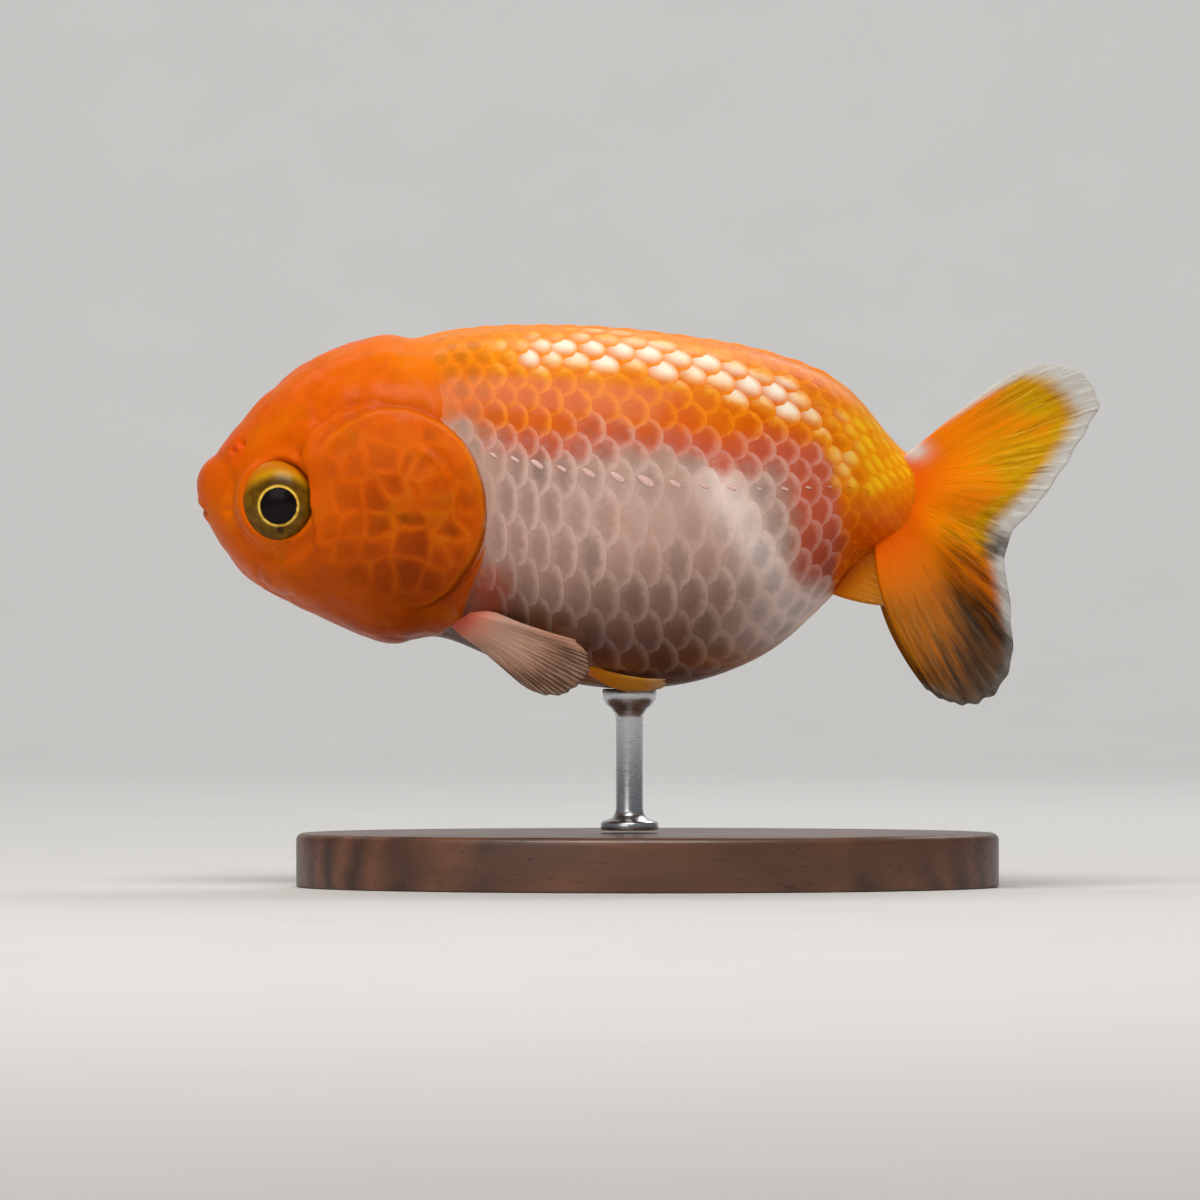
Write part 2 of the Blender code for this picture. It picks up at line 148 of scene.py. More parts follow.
def flesh(x, turn):
    """Plain body: at x, the superellipse |y/half|^p + |z/reach|^p = 1 met at the angle turn."""
    x, turn = np.broadcast_arrays(np.asarray(x, float), turn)
    back, under, half, widest, power = section(x)
    cos, sin = np.cos(turn), np.sin(turn)
    radius = (np.abs(cos) ** power + np.abs(sin) ** power) ** (-1 / power)
    reach = np.where(sin > 0, back - widest, widest - under)
    return np.stack((x, radius * cos * half, widest + radius * sin * reach), axis=-1)


def outward(x, turn):
    """Unit normals of the plain body: its slope round a section crossed with that along x."""
    x = np.clip(x, SNOUT + 0.03, BODY_END - 0.03)
    along = flesh(x + 0.03, turn) - flesh(x - 0.03, turn)
    around = flesh(x, turn + 0.003) - flesh(x, turn - 0.003)
    normal = np.cross(around, along)
    return normal / np.linalg.norm(normal, axis=-1, keepdims=True)


def step(low, high, value):
    """From 0 at low to 1 at high, either way round, by t^2 (3 - 2t), and flat beyond them."""
    t = np.clip((value - low) / (high - low), 0, 1)
    return t * t * (3 - 2 * t)


def window(low, full, still_full, high, value):
    """0 outside low and high and 1 from full to still_full, with a step on each side."""
    return step(low, full, value) * (1 - step(still_full, high, value))


def hump(distance, width=1.0):
    """Bell of height 1: e to the minus (distance / width)^2."""
    return np.exp(-(distance / width) ** 2)


def oval(x, z, place, height, half_length, half_height):
    """Distance from an oval's centre in the side view: 1 on its outline."""
    return np.hypot((x - place) / half_length, (z - height) / half_height)


def scatter(cells, seed):
    """Three repeatable random numbers from 0 to 1 for each cell of whole numbers."""
    mixed = cells @ np.array([[127.1, 269.5, 113.5], [311.7, 183.3, 271.9], [74.7, 246.1, 124.6]])
    return np.modf(np.abs(np.sin(mixed + seed) * 43758.5453))[0]


def cobbles(points, size, seed):
    """Distances to the nearest and next jittered centres, one centre in each cube of size."""
    home = np.floor(points / size)
    nearest = np.full((len(points), 2), 1e9)
    for offset in itertools.product((-1, 0, 1), repeat=3):
        cell = home + offset
        centre = (cell + 0.15 + 0.7 * scatter(cell, seed)) * size
        far = np.linalg.norm(centre - points, axis=-1)[:, None]
        nearest = np.sort(np.concatenate((nearest, far), axis=1), axis=1)[:, :2]
    return nearest.T


def swell(points, size, seed):
    """Smooth noise from 0 to 1: random values at the corners of cubes of size, blended."""
    home = np.floor(points / size)
    share = points / size - home
    share = share * share * (3 - 2 * share)
    total = np.zeros(len(points))
    for offset in itertools.product((0, 1), repeat=3):
        weight = np.prod(np.where(offset, share, 1 - share), axis=-1)
        total += weight * scatter(home + offset, seed)[:, 0]
    return total


def past_head(points):
    """How far points are behind the head, in the side view: past its edge and off the disc."""
    x, _, z = points.T
    return np.minimum(x - curve_through(HEAD_REAR, z), 10 * (oval(x, z, *GILL_COVER) - 1.0))


def coat_bed(points):
    """Share of full scale cover: none on the head, fading at the ridge of back and belly."""
    x, y, z = points.T
    high_up = step(9.0, 14.0, z)
    behind_head = step(-0.3 - 0.7 * high_up, 0.7 + 1.4 * high_up, past_head(points))
    half, widest = section(x)[2:4]
    from_ridge = np.abs(y) / half
    over_back = step(0.0, 0.24 - 0.18 * step(2, 11, x), from_ridge)
    sides = np.where(z > widest, over_back, step(0.1, 0.42, from_ridge))
    sides = np.maximum(sides, step(20.0, 24.0, x))
    stalk_end = 1 - step(0, 1.6, x - 29.0 + 0.035 * (z - 1.0) ** 2)
    return behind_head * sides * stalk_end


def eye_axes(side):
    """Centre of an eyeball and its backward, upward and outward axes; side is -1 at the left."""
    x, z = EYE_AT
    back, under, half, widest, power = section(np.array(x))
    share = (widest - z) / (widest - under) if z < widest else (z - widest) / (back - widest)
    depth = half * (1 - share ** power) ** (1 / power) - EYE_SINK
    cos, sin = math.cos(EYE_TURN), math.sin(EYE_TURN)
    axes = np.array([(cos, side * sin, 0), (0, 0, 1), (-sin, side * cos, 0)])
    return np.array((x, side * float(depth), z)), axes


def ball_height(points, normals, side):
    """How far along its normal each point has to go to leave the eyeball, from |b + t a| = 1."""
    centre, axes = eye_axes(side)
    a = normals @ axes.T / EYE_RADII
    b = (points - centre) @ axes.T / EYE_RADII
    aa, ab, bb = (a * a).sum(-1), (a * b).sum(-1), (b * b).sum(-1) - 1
    rest = ab * ab - aa * bb
    return (-ab + np.sqrt(np.maximum(rest, 0)) - 4 * np.sqrt(np.maximum(-rest, 0))) / aa


def soft_max(a, b, width):
    """The larger of two values, rounded off where they are within width of each other."""
    near = np.clip(0.5 + (a - b) / (2 * width), 0, 1)
    return b + (a - b) * near + width * near * (1 - near)


def lid_over_balls(points, normals):
    """Heights that carry the skin over each eyeball as a lid of even thickness."""
    x, y, z = points.T
    height = np.zeros(len(points))
    for side, _ in SIDES:
        near = (np.sign(y) == side) & (x < -33) & (np.abs(z - EYE_AT[1]) < 9)
        ball = ball_height(points[near], normals[near], side)
        height[near] = soft_max(ball + LID_THICKNESS, 0, 0.7)
    return height


def eye_folds(x, z, face):
    """Heights round the eye: the cheek's wavy front edge laps over its rear, and the opening
    has a rolled lid with a furrow outside it. Also shares behind that edge and off the eye."""
    wave = 0.12 * np.sin(z * 1.3 + 0.7) + 0.06 * np.sin(z * 3.1)
    behind = x + 36.8 + 0.128 * z + wave * (np.abs(z - 1) < 9)
    blur = 0.9 * step(3.5, 6.0, np.abs(z - 0.5))
    lapped = step(-0.3 - blur, 0.15 + blur, behind)
    covered = window(-8.5, -5.5, 7.0, 10.0, z) * face * lapped
    ring = oval(x, z, *LID_OPENING)
    height = 0.5 * covered * (1 - step(0.5, 6.0, behind))
    height -= 1.6 * (1 - step(0.9, 1.04, ring)) * (1 - covered) * face
    height += 0.16 * hump(ring - 1.13, 0.09) * face * (1 - lapped)
    height -= 0.22 * hump(ring - 1.42, 0.13) * face * (1 - step(-1, 1, behind)) * step(-6, -1, -z)
    return height, step(0.4, 1.4, behind), step(1.25, 1.6, ring)


def gill_folds(x, z, wide):
    """Heights of the gill cover, a plate that swings out to its rear rim with a gutter behind
    it, and of the arched plate over the cheek. Also masks of rim, of painted shade in the
    folds and of the net of cells."""
    place, level, half_length, half_height = GILL_COVER
    disc = oval(x, z, *GILL_COVER)
    bearing = np.degrees(np.arctan2((z - level) / half_height, (x - place) / half_length))
    free = step(-88, -62, bearing) * (1 - 0.62 * step(35, 70, bearing))
    free *= 1 - step(120, 160, bearing)
    edge = disc + 0.007 * np.sin(bearing * 0.12) + 0.003 * np.sin(bearing * 0.29 + 1)
    plate = free * (1 - step(0.982, 1.018, edge))
    crown = window(28, 60, 95, 125, bearing)
    arch = oval(x, z, *CHEEK_ARCH) + 0.012 * np.sin(x * 1.9) + 0.01 * np.sin(z * 2.7)
    over_cheek = step(2.5, 6.0, z) * (1 - step(-31.5, -27.0, x)) * (wide > 2.5)
    height = plate * (0.1 + 0.62 * step(0.5, 0.97, disc))
    height -= 0.24 * free * hump(edge - 1.035, 0.028)
    height -= 0.08 * crown * hump(disc - 1.07, 0.1)
    height += 0.34 * over_cheek * (1 - step(0.96, 1.03, arch)) * step(0.55, 0.96, arch)
    height -= 0.1 * over_cheek * hump(arch - 1.06, 0.035)
    height += 0.2 * hump(disc - 0.655, 0.035) * window(-28, -8, 58, 78, bearing)
    height -= 0.16 * hump(disc - 0.73, 0.05) * window(-45, -15, 50, 80, bearing)
    # Mask of painted shade in the gutter behind the rim, the crease over the crown and the edge of
    # the cheek's arch
    folds = 0.9 * free * hump(edge - 1.03, 0.03) + 0.25 * crown * hump(disc - 1.07, 0.07)
    folds += 0.25 * over_cheek * hump(arch - 1.05, 0.035)
    before_cover = (1 - step(0.84, 0.96, arch)) * (1 - step(-31.5, -28.0, x))
    netted = np.maximum(1 - step(0.86, 0.96, disc), 0.8 * before_cover)
    return height, plate * step(0.93, 0.985, edge), folds, netted


def mouth_folds(x, z, wide):
    """Heights of the slit round the snout between full lips, of the fold above it and of the
    chin, and the mask of painted shade that darkens them."""
    slit = (1 - step(-48.5, -47.2, x)) * (1 - step(3.0, 4.2, wide))
    lip_line = z + 0.05 + 0.04 * wide ** 2
    fold, chin = oval(x, z, *LIP_FOLD), oval(x, z, *CHIN_FOLD)
    height = -0.4 * slit * hump(lip_line, 0.15) + 0.2 * slit * hump(np.abs(lip_line) - 0.8, 0.5)
    height -= 0.12 * hump(fold - 1.0, 0.13) * step(-1.5, 1.5, z) * (x < -44)
    height -= 0.1 * hump(chin - 1.0, 0.14) * (1 - step(-2.5, -1.0, z)) * (x < -44)
    folds = 0.3 * slit * hump(lip_line, 0.25) + 0.15 * hump(fold - 1.0, 0.12) * (z > 0) * (x < -44)
    return height, folds


def head_growth(points, netted, clear_of_eye):
    """Heights of the soft growth: low cobbles on crown and jowl, a lump on the jowl, and a net
    of pale walls round darker cells. Also how dark or pale the net makes the skin."""
    x, y, z = points.T
    mirrored = points * (1, 0, 1) + np.stack((0 * x, np.abs(y), 0 * x), axis=-1)
    naked = 1 - step(-1.5, 0.2, past_head(points))
    crown = step(5.5, 12.0, z) * step(-49.0, -44.0, x)
    jowl = (1 - step(-7.0, -3.0, z)) * window(-47.5, -44.0, -27, -22, x)
    domes = np.clip(1 - (cobbles(mirrored, LUMP_SIZE, 3)[0] / (0.62 * LUMP_SIZE)) ** 2, 0, 1)
    height = naked * clear_of_eye * (0.24 * crown + 0.18 * jowl) * domes
    lump = oval(x, z, *JOWL_LUMP)
    height += (0.42 * hump(lump, 2.4) - 0.22 * hump(lump - 2.9, 0.4) * (x < -39)) * (np.abs(y) > 3)
    warp = np.stack([swell(mirrored, 1.5, seed) - 0.5 for seed in (31, 32, 33)], axis=-1)
    first, second = cobbles((mirrored + 0.9 * warp) * (1, 0.6, 1), CELL_SIZE, 8)
    walls = hump(second - first, 0.26) * (0.3 + 0.7 * step(0.3, 0.6, swell(mirrored, 2.2, 19)))
    netted = netted * (0.36 + 0.64 * hump(oval(x, z, *NET_MIDDLE))) * clear_of_eye
    netted = np.maximum(netted, 0.2 * naked * jowl)
    netted = netted * (0.6 + 0.8 * swell(points, 4.0, 77)).clip(0, 1)
    height += netted * (0.06 * walls - 0.02) + 0.1 * (swell(points, 1.7, 5) - 0.5) * naked
    inside = step(0.2, 1.2, second - first) * (0.32 + 0.5 * swell(mirrored, 2.4, 53))
    return height, netted * (inside - walls)


def sculpt(points, normals):
    """Heights of every fold over the plain body in millimetres, and the masks that colour them,
    painted shade in the creases among them.
    """
    x, y, z = points.T
    wide = np.abs(y)
    height = lid_over_balls(points, normals)
    draped = points + normals * height[:, None]
    face = (wide > 2.5) & (x < -30)
    eye_height, behind_flap, clear_of_eye = eye_folds(draped[:, 0], draped[:, 2], face)
    gill_height, rim, gill_crease_shade, netted = gill_folds(x, z, wide)
    mouth_height, mouth_crease_shade = mouth_folds(x, z, wide)
    growth_height, cells = head_growth(points, netted * behind_flap, clear_of_eye)
    height += eye_height + gill_height + mouth_height + growth_height
    for place, level, size, rise, begins in ROUND_FORMS.values():
        height += rise * hump(np.hypot(x - place, z - level), size) * (wide > begins)
    # Low knobs along the ridge of the back
    ridge = hump(wide, 2.2) * step(4, 8, z) * window(-22, -18, 22, 27, x)
    height += 0.06 * ridge * np.sin(x * 2.0 + 0.6 * np.sin(x * 0.7))
    height -= COAT_DEPTH * coat_bed(points)
    nostril = hump(np.hypot(x + 45.2, z - 6.7), 1.3) * (wide > 1.5)
    folds = np.clip(gill_crease_shade + mouth_crease_shade, 0, 1)
    return height, np.stack((cells * 0.5 + 0.5, rim, folds, nostril), axis=-1)


def skin_stations():
    """Sections from snout to stalk end, closest at the lips and close all over the head."""
    head = np.linspace(0, 1, HEAD_SECTIONS + 1)[1:]
    rear = np.linspace(0, 1, REAR_SECTIONS + 2)[1:-1]
    ahead = SNOUT + HEAD_LENGTH * head ** 1.35
    behind = ahead[-1] + (BODY_END - ahead[-1]) * (1 - (1 - rear) ** 1.25)
    return np.concatenate((ahead, behind))


def quads_of(index):
    """Quads of a grid of point numbers."""
    corners = (index[:-1, :-1], index[1:, :-1], index[1:, 1:], index[:-1, 1:])
    return np.stack(corners, -1).reshape(-1, 4)


def tube_faces(rings, points):
    """Quads of a tube of rings, and the fans of triangles that close its two ends."""
    index = np.arange(rings * points).reshape(rings, points)
    index = np.concatenate((index, index[:, :1]), axis=1)
    j = np.arange(points)
    k = (j + 1) % points
    end = (rings - 1) * points
    front = np.stack((k, j, np.full(points, rings * points)), -1)
    rear = np.stack((end + j, end + k, np.full(points, rings * points + 1)), -1)
    return quads_of(index)[:, (0, 3, 2, 1)], front, rear


def tube_map(rings, points):
    """Corners of tube_faces on an unrolled map: along the tube across it, the turn up it."""
    i, j = np.meshgrid(np.arange(rings - 1), np.arange(points), indexing="ij")
    corners = np.stack(((i, j), (i, j + 1), (i + 1, j + 1), (i + 1, j)), 0)
    quads = corners.transpose(2, 3, 0, 1).reshape(-1, 4, 2).astype(float)
    j = np.arange(points)
    zero, last = np.zeros(points), np.full(points, rings - 1.0)
    front = np.stack(((zero, j + 1), (zero, j), (zero - 1, j + 0.5)), 0).transpose(2, 0, 1)
    rear = np.stack(((last, j), (last, j + 1), (last + 1, j + 0.5)), 0).transpose(2, 0, 1)
    whole = np.concatenate([part.reshape(-1, 2) for part in (quads, front, rear)])
    return (whole + (1, 0)) / (rings + 1, points) * 0.98 + 0.01


def place_in_scene(name, data):
    """A scene object at the origin that shows a mesh, lamp or camera."""
    made = bpy.data.objects.new(name, data)
    bpy.context.scene.collection.objects.link(made)
    return made


def smooth_mesh(name, points, faces, finish):
    """A smooth mesh from points in metres and groups of faces, in one material."""
    mesh = bpy.data.meshes.new(name)
    mesh.from_pydata(points.tolist(), [], [f for group in faces for f in group.tolist()])
    mesh.shade_smooth()
    mesh.materials.append(finish)
    return mesh


def add_piece(name, points, faces, values, maps, finish):
    """A piece on the root body, from points of the drawing, with values kept at its points
    and flat maps at its corners."""
    mesh = smooth_mesh(name, to_frame(points), faces, finish)
    for key, data in values.items():
        kind, field = ("FLOAT_COLOR", "color") if data.ndim == 2 else ("FLOAT", "value")
        layer = mesh.attributes.new(key, kind, "POINT")
        layer.data.foreach_set(field, np.ascontiguousarray(data, np.float32).ravel())
    for key, corners in maps.items():
        layer = mesh.uv_layers.new(name=key)
        layer.data.foreach_set("uv", np.ascontiguousarray(corners, np.float32).ravel())
    piece = place_in_scene(name, mesh)
    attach(piece, "root")
    return piece


# Markings: an orange hood, saddle and stalk over a pale flank with a painted pearly sheen, as shares
# from 0 to 1.
# The saddle's lower edge is (place, height) and the stalk's front edge (height, place)
SADDLE_EDGE = (
    (-26, 10.2), (-22, 10.1), (-12, 9.9), (0, 9.4), (10, 8.7), (19, 7.8), (24, 4.0),
)
STALK_EDGE = (
    (-20, 17.5), (-10, 20.3), (-2, 21.9), (4, 20.6), (9, 18.6), (14, 15.0), (20, 10.0),
)
# Ovals of the side view again, each with its strength
BLUSH_PATCHES = ((-17.4, -10.2, 3.4, 4.2, 0.95), (-3.2, -1.2, 2.4, 3.0, 0.38))
AMBER_PATCHES = (
    (-11.9, -13.6, 2.8, 1.6, 0.7), (-4.0, -18.6, 5.5, 1.6, 0.8), (9.0, -17.0, 5.0, 1.3, 0.7),
)


def patches(x, z, ovals):
    """The largest of some soft round patches, each a bell of its own strength."""
    return np.max([most * hump(oval(x, z, *shape)) for *shape, most in ovals], axis=0)


def markings(points):
    """Shares of orange, blush, painted sheen and amber, and of painted shade under the belly.

    Each is a soft step across a line of the side view, or a bell round a place on it, and slow
    noise moves the lines so that no edge is straight.
    """
    x, _, z = points.T
    wander = swell(points, 5.0, 11) - 0.5 + 0.6 * (swell(points, 2.0, 23) - 0.5)
    back, under = section(x)[:2]
    hood = 1 - step(-0.4, 0.7, past_head(points) + 0.6 * wander)
    over = z - curve_through(SADDLE_EDGE, x) + 2.2 * wander
    past_edge = x - curve_through(STALK_EDGE, z)
    root = step(-1.0, 1.3, past_edge + 1.8 * wander)
    orange = np.max((hood, step(-4.2, 2.6, over), root), axis=0)

    # Blush: a band under the saddle, the flank before the stalk, and the pectoral fin's root
    rearward = step(-2.0, 10.0, x)
    band = np.minimum(over + 1.6, 0) / (2.8 + 1.0 * rearward) + np.maximum(over + 1.6, 0) / 6.0
    band = (0.8 + 0.2 * rearward) * hump(band) * (0.25 + 0.75 * step(-21, -13, x))
    before_stalk = step(-9.0, -2.0, past_edge + 1.5 * wander) * step(-11.5, -5.5, z)
    cloudy = 0.3 * swell(points, 4.5, 47) * (1 - step(6, 10, np.abs(z)))
    blush = np.max((band, before_stalk, patches(x, z, BLUSH_PATCHES), cloudy), axis=0)

    # Painted sheen: a bright sickle of painted highlight down the rear of the belly, and a faint one
    # on the middle of the flank
    down = np.clip((3.5 - z) / 12.5, 0, 1)
    sickle = x - (8.5 + 8.5 * down ** 1.5 - 3.0 * step(-10.5, -15.5, z))
    painted_sheen = hump(sickle / (3.0 + 2.6 * step(-4.0, -10.0, z)))
    painted_sheen = painted_sheen * step(6.5, 2.5, z) * step(-18.0, -12.0, z)
    painted_sheen = np.maximum(painted_sheen, 0.2 * hump(oval(x, z, -3.0, 0.0, 7.0, 6.0)))
    painted_sheen = np.clip(painted_sheen * (0.75 + 0.5 * swell(points, 2.2, 71)), 0, 1)

    # Painted shade: the lower part of the body is darkened, less under the painted sheen and towards
    # the tail
    depth_share = (z - under) / np.maximum(back - under, 0.1)
    painted_shade = 1 - step(0.02, 0.44, depth_share + 0.05 * wander)
    painted_shade = painted_shade * (1 - 0.75 * painted_sheen) * (1 - 0.5 * step(4.0, 13.0, x))
    return np.stack((orange, blush, painted_sheen, patches(x, z, AMBER_PATCHES)), axis=-1), painted_shade


def tone(red, green, blue):
    """A colour given as it is seen, from 0 to 255, as linear light."""
    seen = np.array((red, green, blue)) / 255
    linear = np.where(seen < 0.04045, seen / 12.92, ((seen + 0.055) / 1.055) ** 2.4)
    return (*linear.tolist(), 1.0)


def add(tree, kind, feeds=(), output=0, **options):
    """One node, and its output as a Term: options are its settings, and feeds its sockets'
    values or the Terms they are linked to."""
    made = tree.nodes.new(kind)
    for key, setting in options.items():
        setattr(made, key, setting)
    for key, feed in dict(feeds).items():
        if isinstance(feed, Term):
            tree.links.new(feed.socket, made.inputs[key])
        else:
            made.inputs[key].default_value = feed
    return Term(made.outputs[output])


class Term:
    """A node's output as a term of a formula: its signs and methods add further nodes."""

    def __init__(self, socket):
        self.socket = socket
        self.tree = socket.id_data

    def maths(self, operation, *others):
        """A sum of this and others, or a function of this alone."""
        return add(self.tree, "ShaderNodeMath", enumerate((self, *others)), operation=operation)

    def __add__(self, other):
        return self.maths("ADD", other)

    def __sub__(self, other):
        return self.maths("SUBTRACT", other)

    def __mul__(self, other):
        return self.maths("MULTIPLY", other)

    def ramp(self, low, high, out_low=0.0, out_high=1.0):
        """Smooth step of this from low to high, put out as out_low to out_high."""
        feeds = {0: self, 1: low, 2: high, 3: out_low, 4: out_high}
        return add(self.tree, "ShaderNodeMapRange", feeds, interpolation_type="SMOOTHSTEP")

    def blend(self, low, high):
        """Colour low where this is 0 and high where it is 1."""
        return add(self.tree, "ShaderNodeMix", {0: self, 6: low, 7: high}, 2, data_type="RGBA")

    def tinted(self, other):
        """This colour multiplied by another."""
        feeds = {0: 1.0, 6: self, 7: other}
        return add(self.tree, "ShaderNodeMix", feeds, 2, data_type="RGBA", blend_type="MULTIPLY")

    def passing_to(self, other, share):
        """This colour passed over to another by a plain share."""
        return add(self.tree, "ShaderNodeMix", {0: share, 6: self, 7: other}, 2, data_type="RGBA")

    def speckle(self, scale, detail=2.0, roughness=0.5):
        """Noise from 0 to 1 over this place."""
        feeds = {"Vector": self, "Scale": scale, "Detail": detail, "Roughness": roughness}
        return add(self.tree, "ShaderNodeTexNoise", feeds)

    def parts(self, kind="Color"):
        """The three parts of this colour, or of this place with kind XYZ."""
        first = add(self.tree, f"ShaderNodeSeparate{kind}", {0: self})
        return [Term(socket) for socket in first.socket.node.outputs]


def place_on(tree):
    """Object coordinates: metres in the shared frame."""
    return add(tree, "ShaderNodeTexCoord", output="Object")


def kept(tree, name, output="Fac"):
    """The value or colour kept under name at the mesh's points."""
    return add(tree, "ShaderNodeAttribute", output=output, attribute_name=name)


def bump(height, strength, distance):
    """A normal from a height, whose 1 stands for a distance in metres."""
    feeds = {"Strength": strength, "Distance": distance, "Height": height}
    return add(height.tree, "ShaderNodeBump", feeds)


def new_finish(name, glow=None, **sockets):
    """A material, its node tree, and what links Terms to its Principled shader. The sockets
    are given plainly, and glow is how far each colour spreads under the surface."""
    material = bpy.data.materials.new(name)
    material.use_nodes = True
    shader = material.node_tree.nodes["Principled BSDF"]
    for key, value in sockets.items():
        shader.inputs[key.replace("_", " ")].default_value = value
    if glow:
        shader.inputs["Subsurface Radius"].default_value = glow

    def feed(**terms):
        for key, term in terms.items():
            material.node_tree.links.new(term.socket, shader.inputs[key.replace("_", " ")])
    return material, material.node_tree, feed


FLANK = tone(192, 154, 138)
PAINTED_SHEEN_WHITE = tone(248, 222, 210)
BLUSH = tone(210, 96, 66)
AMBER = tone(168, 104, 38)
ORANGE = tone(248, 136, 0)
GOLD = tone(255, 166, 6)
SHADED_ORANGE = tone(222, 94, 0)
HOOD_ORANGE = tone(224, 94, 0)
# Colours of painted shade, over the lower body and over the orange low down
PAINTED_SHADE_COLOUR = tone(94, 54, 42)
PAINTED_SHADE_ORANGE = tone(158, 72, 0)


def markings_group():
    """The fish's colours by its markings, put out with the share of orange among them."""
    tree = bpy.data.node_groups.new("goldfish_markings", "ShaderNodeTree")
    tree.interface.new_socket("Colour", in_out="OUTPUT", socket_type="NodeSocketColor")
    tree.interface.new_socket("Orange", in_out="OUTPUT", socket_type="NodeSocketFloat")
    place = place_on(tree)
    along, _, height = place.parts("XYZ")
    orange, blush, painted_sheen = kept(tree, "zones", "Color").parts()
    ragged = (place.speckle(900.0, 3.0) - 0.5) * 0.5
    orange, blush = (orange + ragged).ramp(0.1, 0.85), (blush + ragged).ramp(0.15, 0.95)
    # The painted sheen lightens the flank towards a pinkish white
    body = blush.blend(painted_sheen.blend(FLANK, PAINTED_SHEEN_WHITE), BLUSH)
    # Painted shade over the lower part of the body
    body = kept(tree, "painted_shade").blend(body, PAINTED_SHADE_COLOUR)
    body = (kept(tree, "zones", "Alpha") * 0.8).blend(body, AMBER)
    # Painted light and shade: the orange is brighter towards the top of the back and deeper below
    warm = height.ramp(axis_z + 0.0105, axis_z + 0.0195).blend(SHADED_ORANGE, ORANGE)
    ahead = along.ramp(snout_x + 0.030, snout_x + 0.018, 0.0, 0.8)
    warm = ahead.blend(warm, HOOD_ORANGE)
    golden = along.ramp(snout_x + 0.066, snout_x + 0.077, 0.0, 0.75)
    golden = golden * height.ramp(axis_z - 0.002, axis_z + 0.005)
    warm = golden.blend(warm, GOLD)
    warm = place.speckle(210.0).ramp(0.45, 0.8, 0.0, 0.22).blend(warm, GOLD)
    # Painted shade: the orange darkens towards the underside
    low = height.ramp(axis_z + 0.001, axis_z - 0.014, 0.0, 0.45)
    warm = low.blend(warm, PAINTED_SHADE_ORANGE)
    out = tree.nodes.new("NodeGroupOutput")
    tree.links.new(orange.blend(body, warm).socket, out.inputs[0])
    tree.links.new(orange.socket, out.inputs[1])
    return tree


MARKINGS = markings_group()


def marks_on(tree):
    """The markings' colour and share of orange in a material."""
    colour = add(tree, "ShaderNodeGroup", node_tree=MARKINGS)
    return colour, Term(colour.socket.node.outputs[1])


wet_skin, tree, feed = new_finish(
    "wet_skin", glow=(1.0, 0.4, 0.15), Subsurface_Weight=0.1, Subsurface_Scale=0.0012,
    Coat_Weight=0.04, Coat_Roughness=0.2, Specular_IOR_Level=0.04,
)
colour, orange = marks_on(tree)
place = place_on(tree)
cells, rim, folds = kept(tree, "detail", "Color").parts()
nostril = kept(tree, "detail", "Alpha")
colour = cells.ramp(0.45, 0.95).blend(colour, colour.tinted(tone(184, 184, 120)))
colour = cells.ramp(0.5, 0.1, 0.0, 0.4).blend(colour, tone(232, 132, 8))
colour = (rim * 0.5).blend(colour, tone(244, 142, 8))
# Painted shade in the creases of the gill cover and cheek and round the mouth
colour = (folds * 0.6).blend(colour, tone(150, 44, 2))
colour = (nostril * 0.5).blend(colour, tone(226, 58, 2))
mottle = place.speckle(420.0, 5.0, 0.62).ramp(0.42, 0.72, 0.0, 0.5)
colour = mottle.blend(colour, colour.tinted(tone(216, 196, 130)))
along, _, height = place.parts("XYZ")
# Lower cheek darker and more olive: partly the cheek's own olive tinge, partly painted shade
low_cheek = height.ramp(axis_z + 0.008, axis_z - 0.003) * along.ramp(snout_x + 0.006, snout_x + 0.024)
low_cheek = low_cheek * orange * place.speckle(120.0).ramp(0.3, 0.6, 0.45, 0.9)
colour = low_cheek.blend(colour, colour.tinted(tone(200, 184, 140)))
pores = place.speckle(2600.0, 3.0)
feed(Base_Color=colour, Roughness=pores.ramp(0.3, 0.8, 0.3, 0.46), Normal=bump(pores, 0.5, 0.00006))

stations = skin_stations()
turns = np.linspace(0, 2 * math.pi, RING_POINTS, endpoint=False)
grid_x, grid_turn = (part.ravel() for part in np.meshgrid(stations, turns, indexing="ij"))
plain = flesh(grid_x, grid_turn)
normals = outward(grid_x, grid_turn)
heights, detail = sculpt(plain, normals)
stalk_tip = (BACK_LINE[-1][1] + UNDER_LINE[-1][1]) / 2
tips = np.array([(SNOUT + 0.02, 0, BACK_LINE[0][1]), (BODY_END, 0, stalk_tip)])
zones, painted_shade = markings(np.concatenate((plain, tips)))
skin = add_piece(
    "skin", np.concatenate((plain + normals * heights[:, None], tips)),
    tube_faces(len(stations), RING_POINTS),
    {"zones": zones, "painted_shade": painted_shade, "detail": np.concatenate((detail, [(0.5, 0, 0, 0)] * 2))},
    {"OFBake": tube_map(len(stations), RING_POINTS)}, wet_skin,
)
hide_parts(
    "head", "lower_jaw", "gill_cover_left", "gill_cover_right", "trunk", "tail_stalk"
)


# ---------------------------------------------------------------------------------------------
# Eyes
# Flattened balls bedded in the cheeks and turned a little forwards. Each has a round black
# pupil in a thin gold ring, an olive iris with a gold crescent over it, and a clear wet front.
# ---------------------------------------------------------------------------------------------
PUPIL_AT = (-40.5, 0.15)
PUPIL_RADIUS = 2.06
IRIS_MAP_WIDTH = 12.0
EYE_RINGS, EYE_POINTS = 48, 96


def mapped(tree, name):
    """Across and up a piece's flat map."""
    return add(tree, "ShaderNodeUVMap", uv_map=name).parts("XYZ")[:2]


def length(across, up):
    """Root of across squared plus up squared, as a vector's length."""
    corner = add(across.tree, "ShaderNodeCombineXYZ", {0: across, 1: up})
    return add(across.tree, "ShaderNodeVectorMath", {0: corner}, "Value", operation="LENGTH")


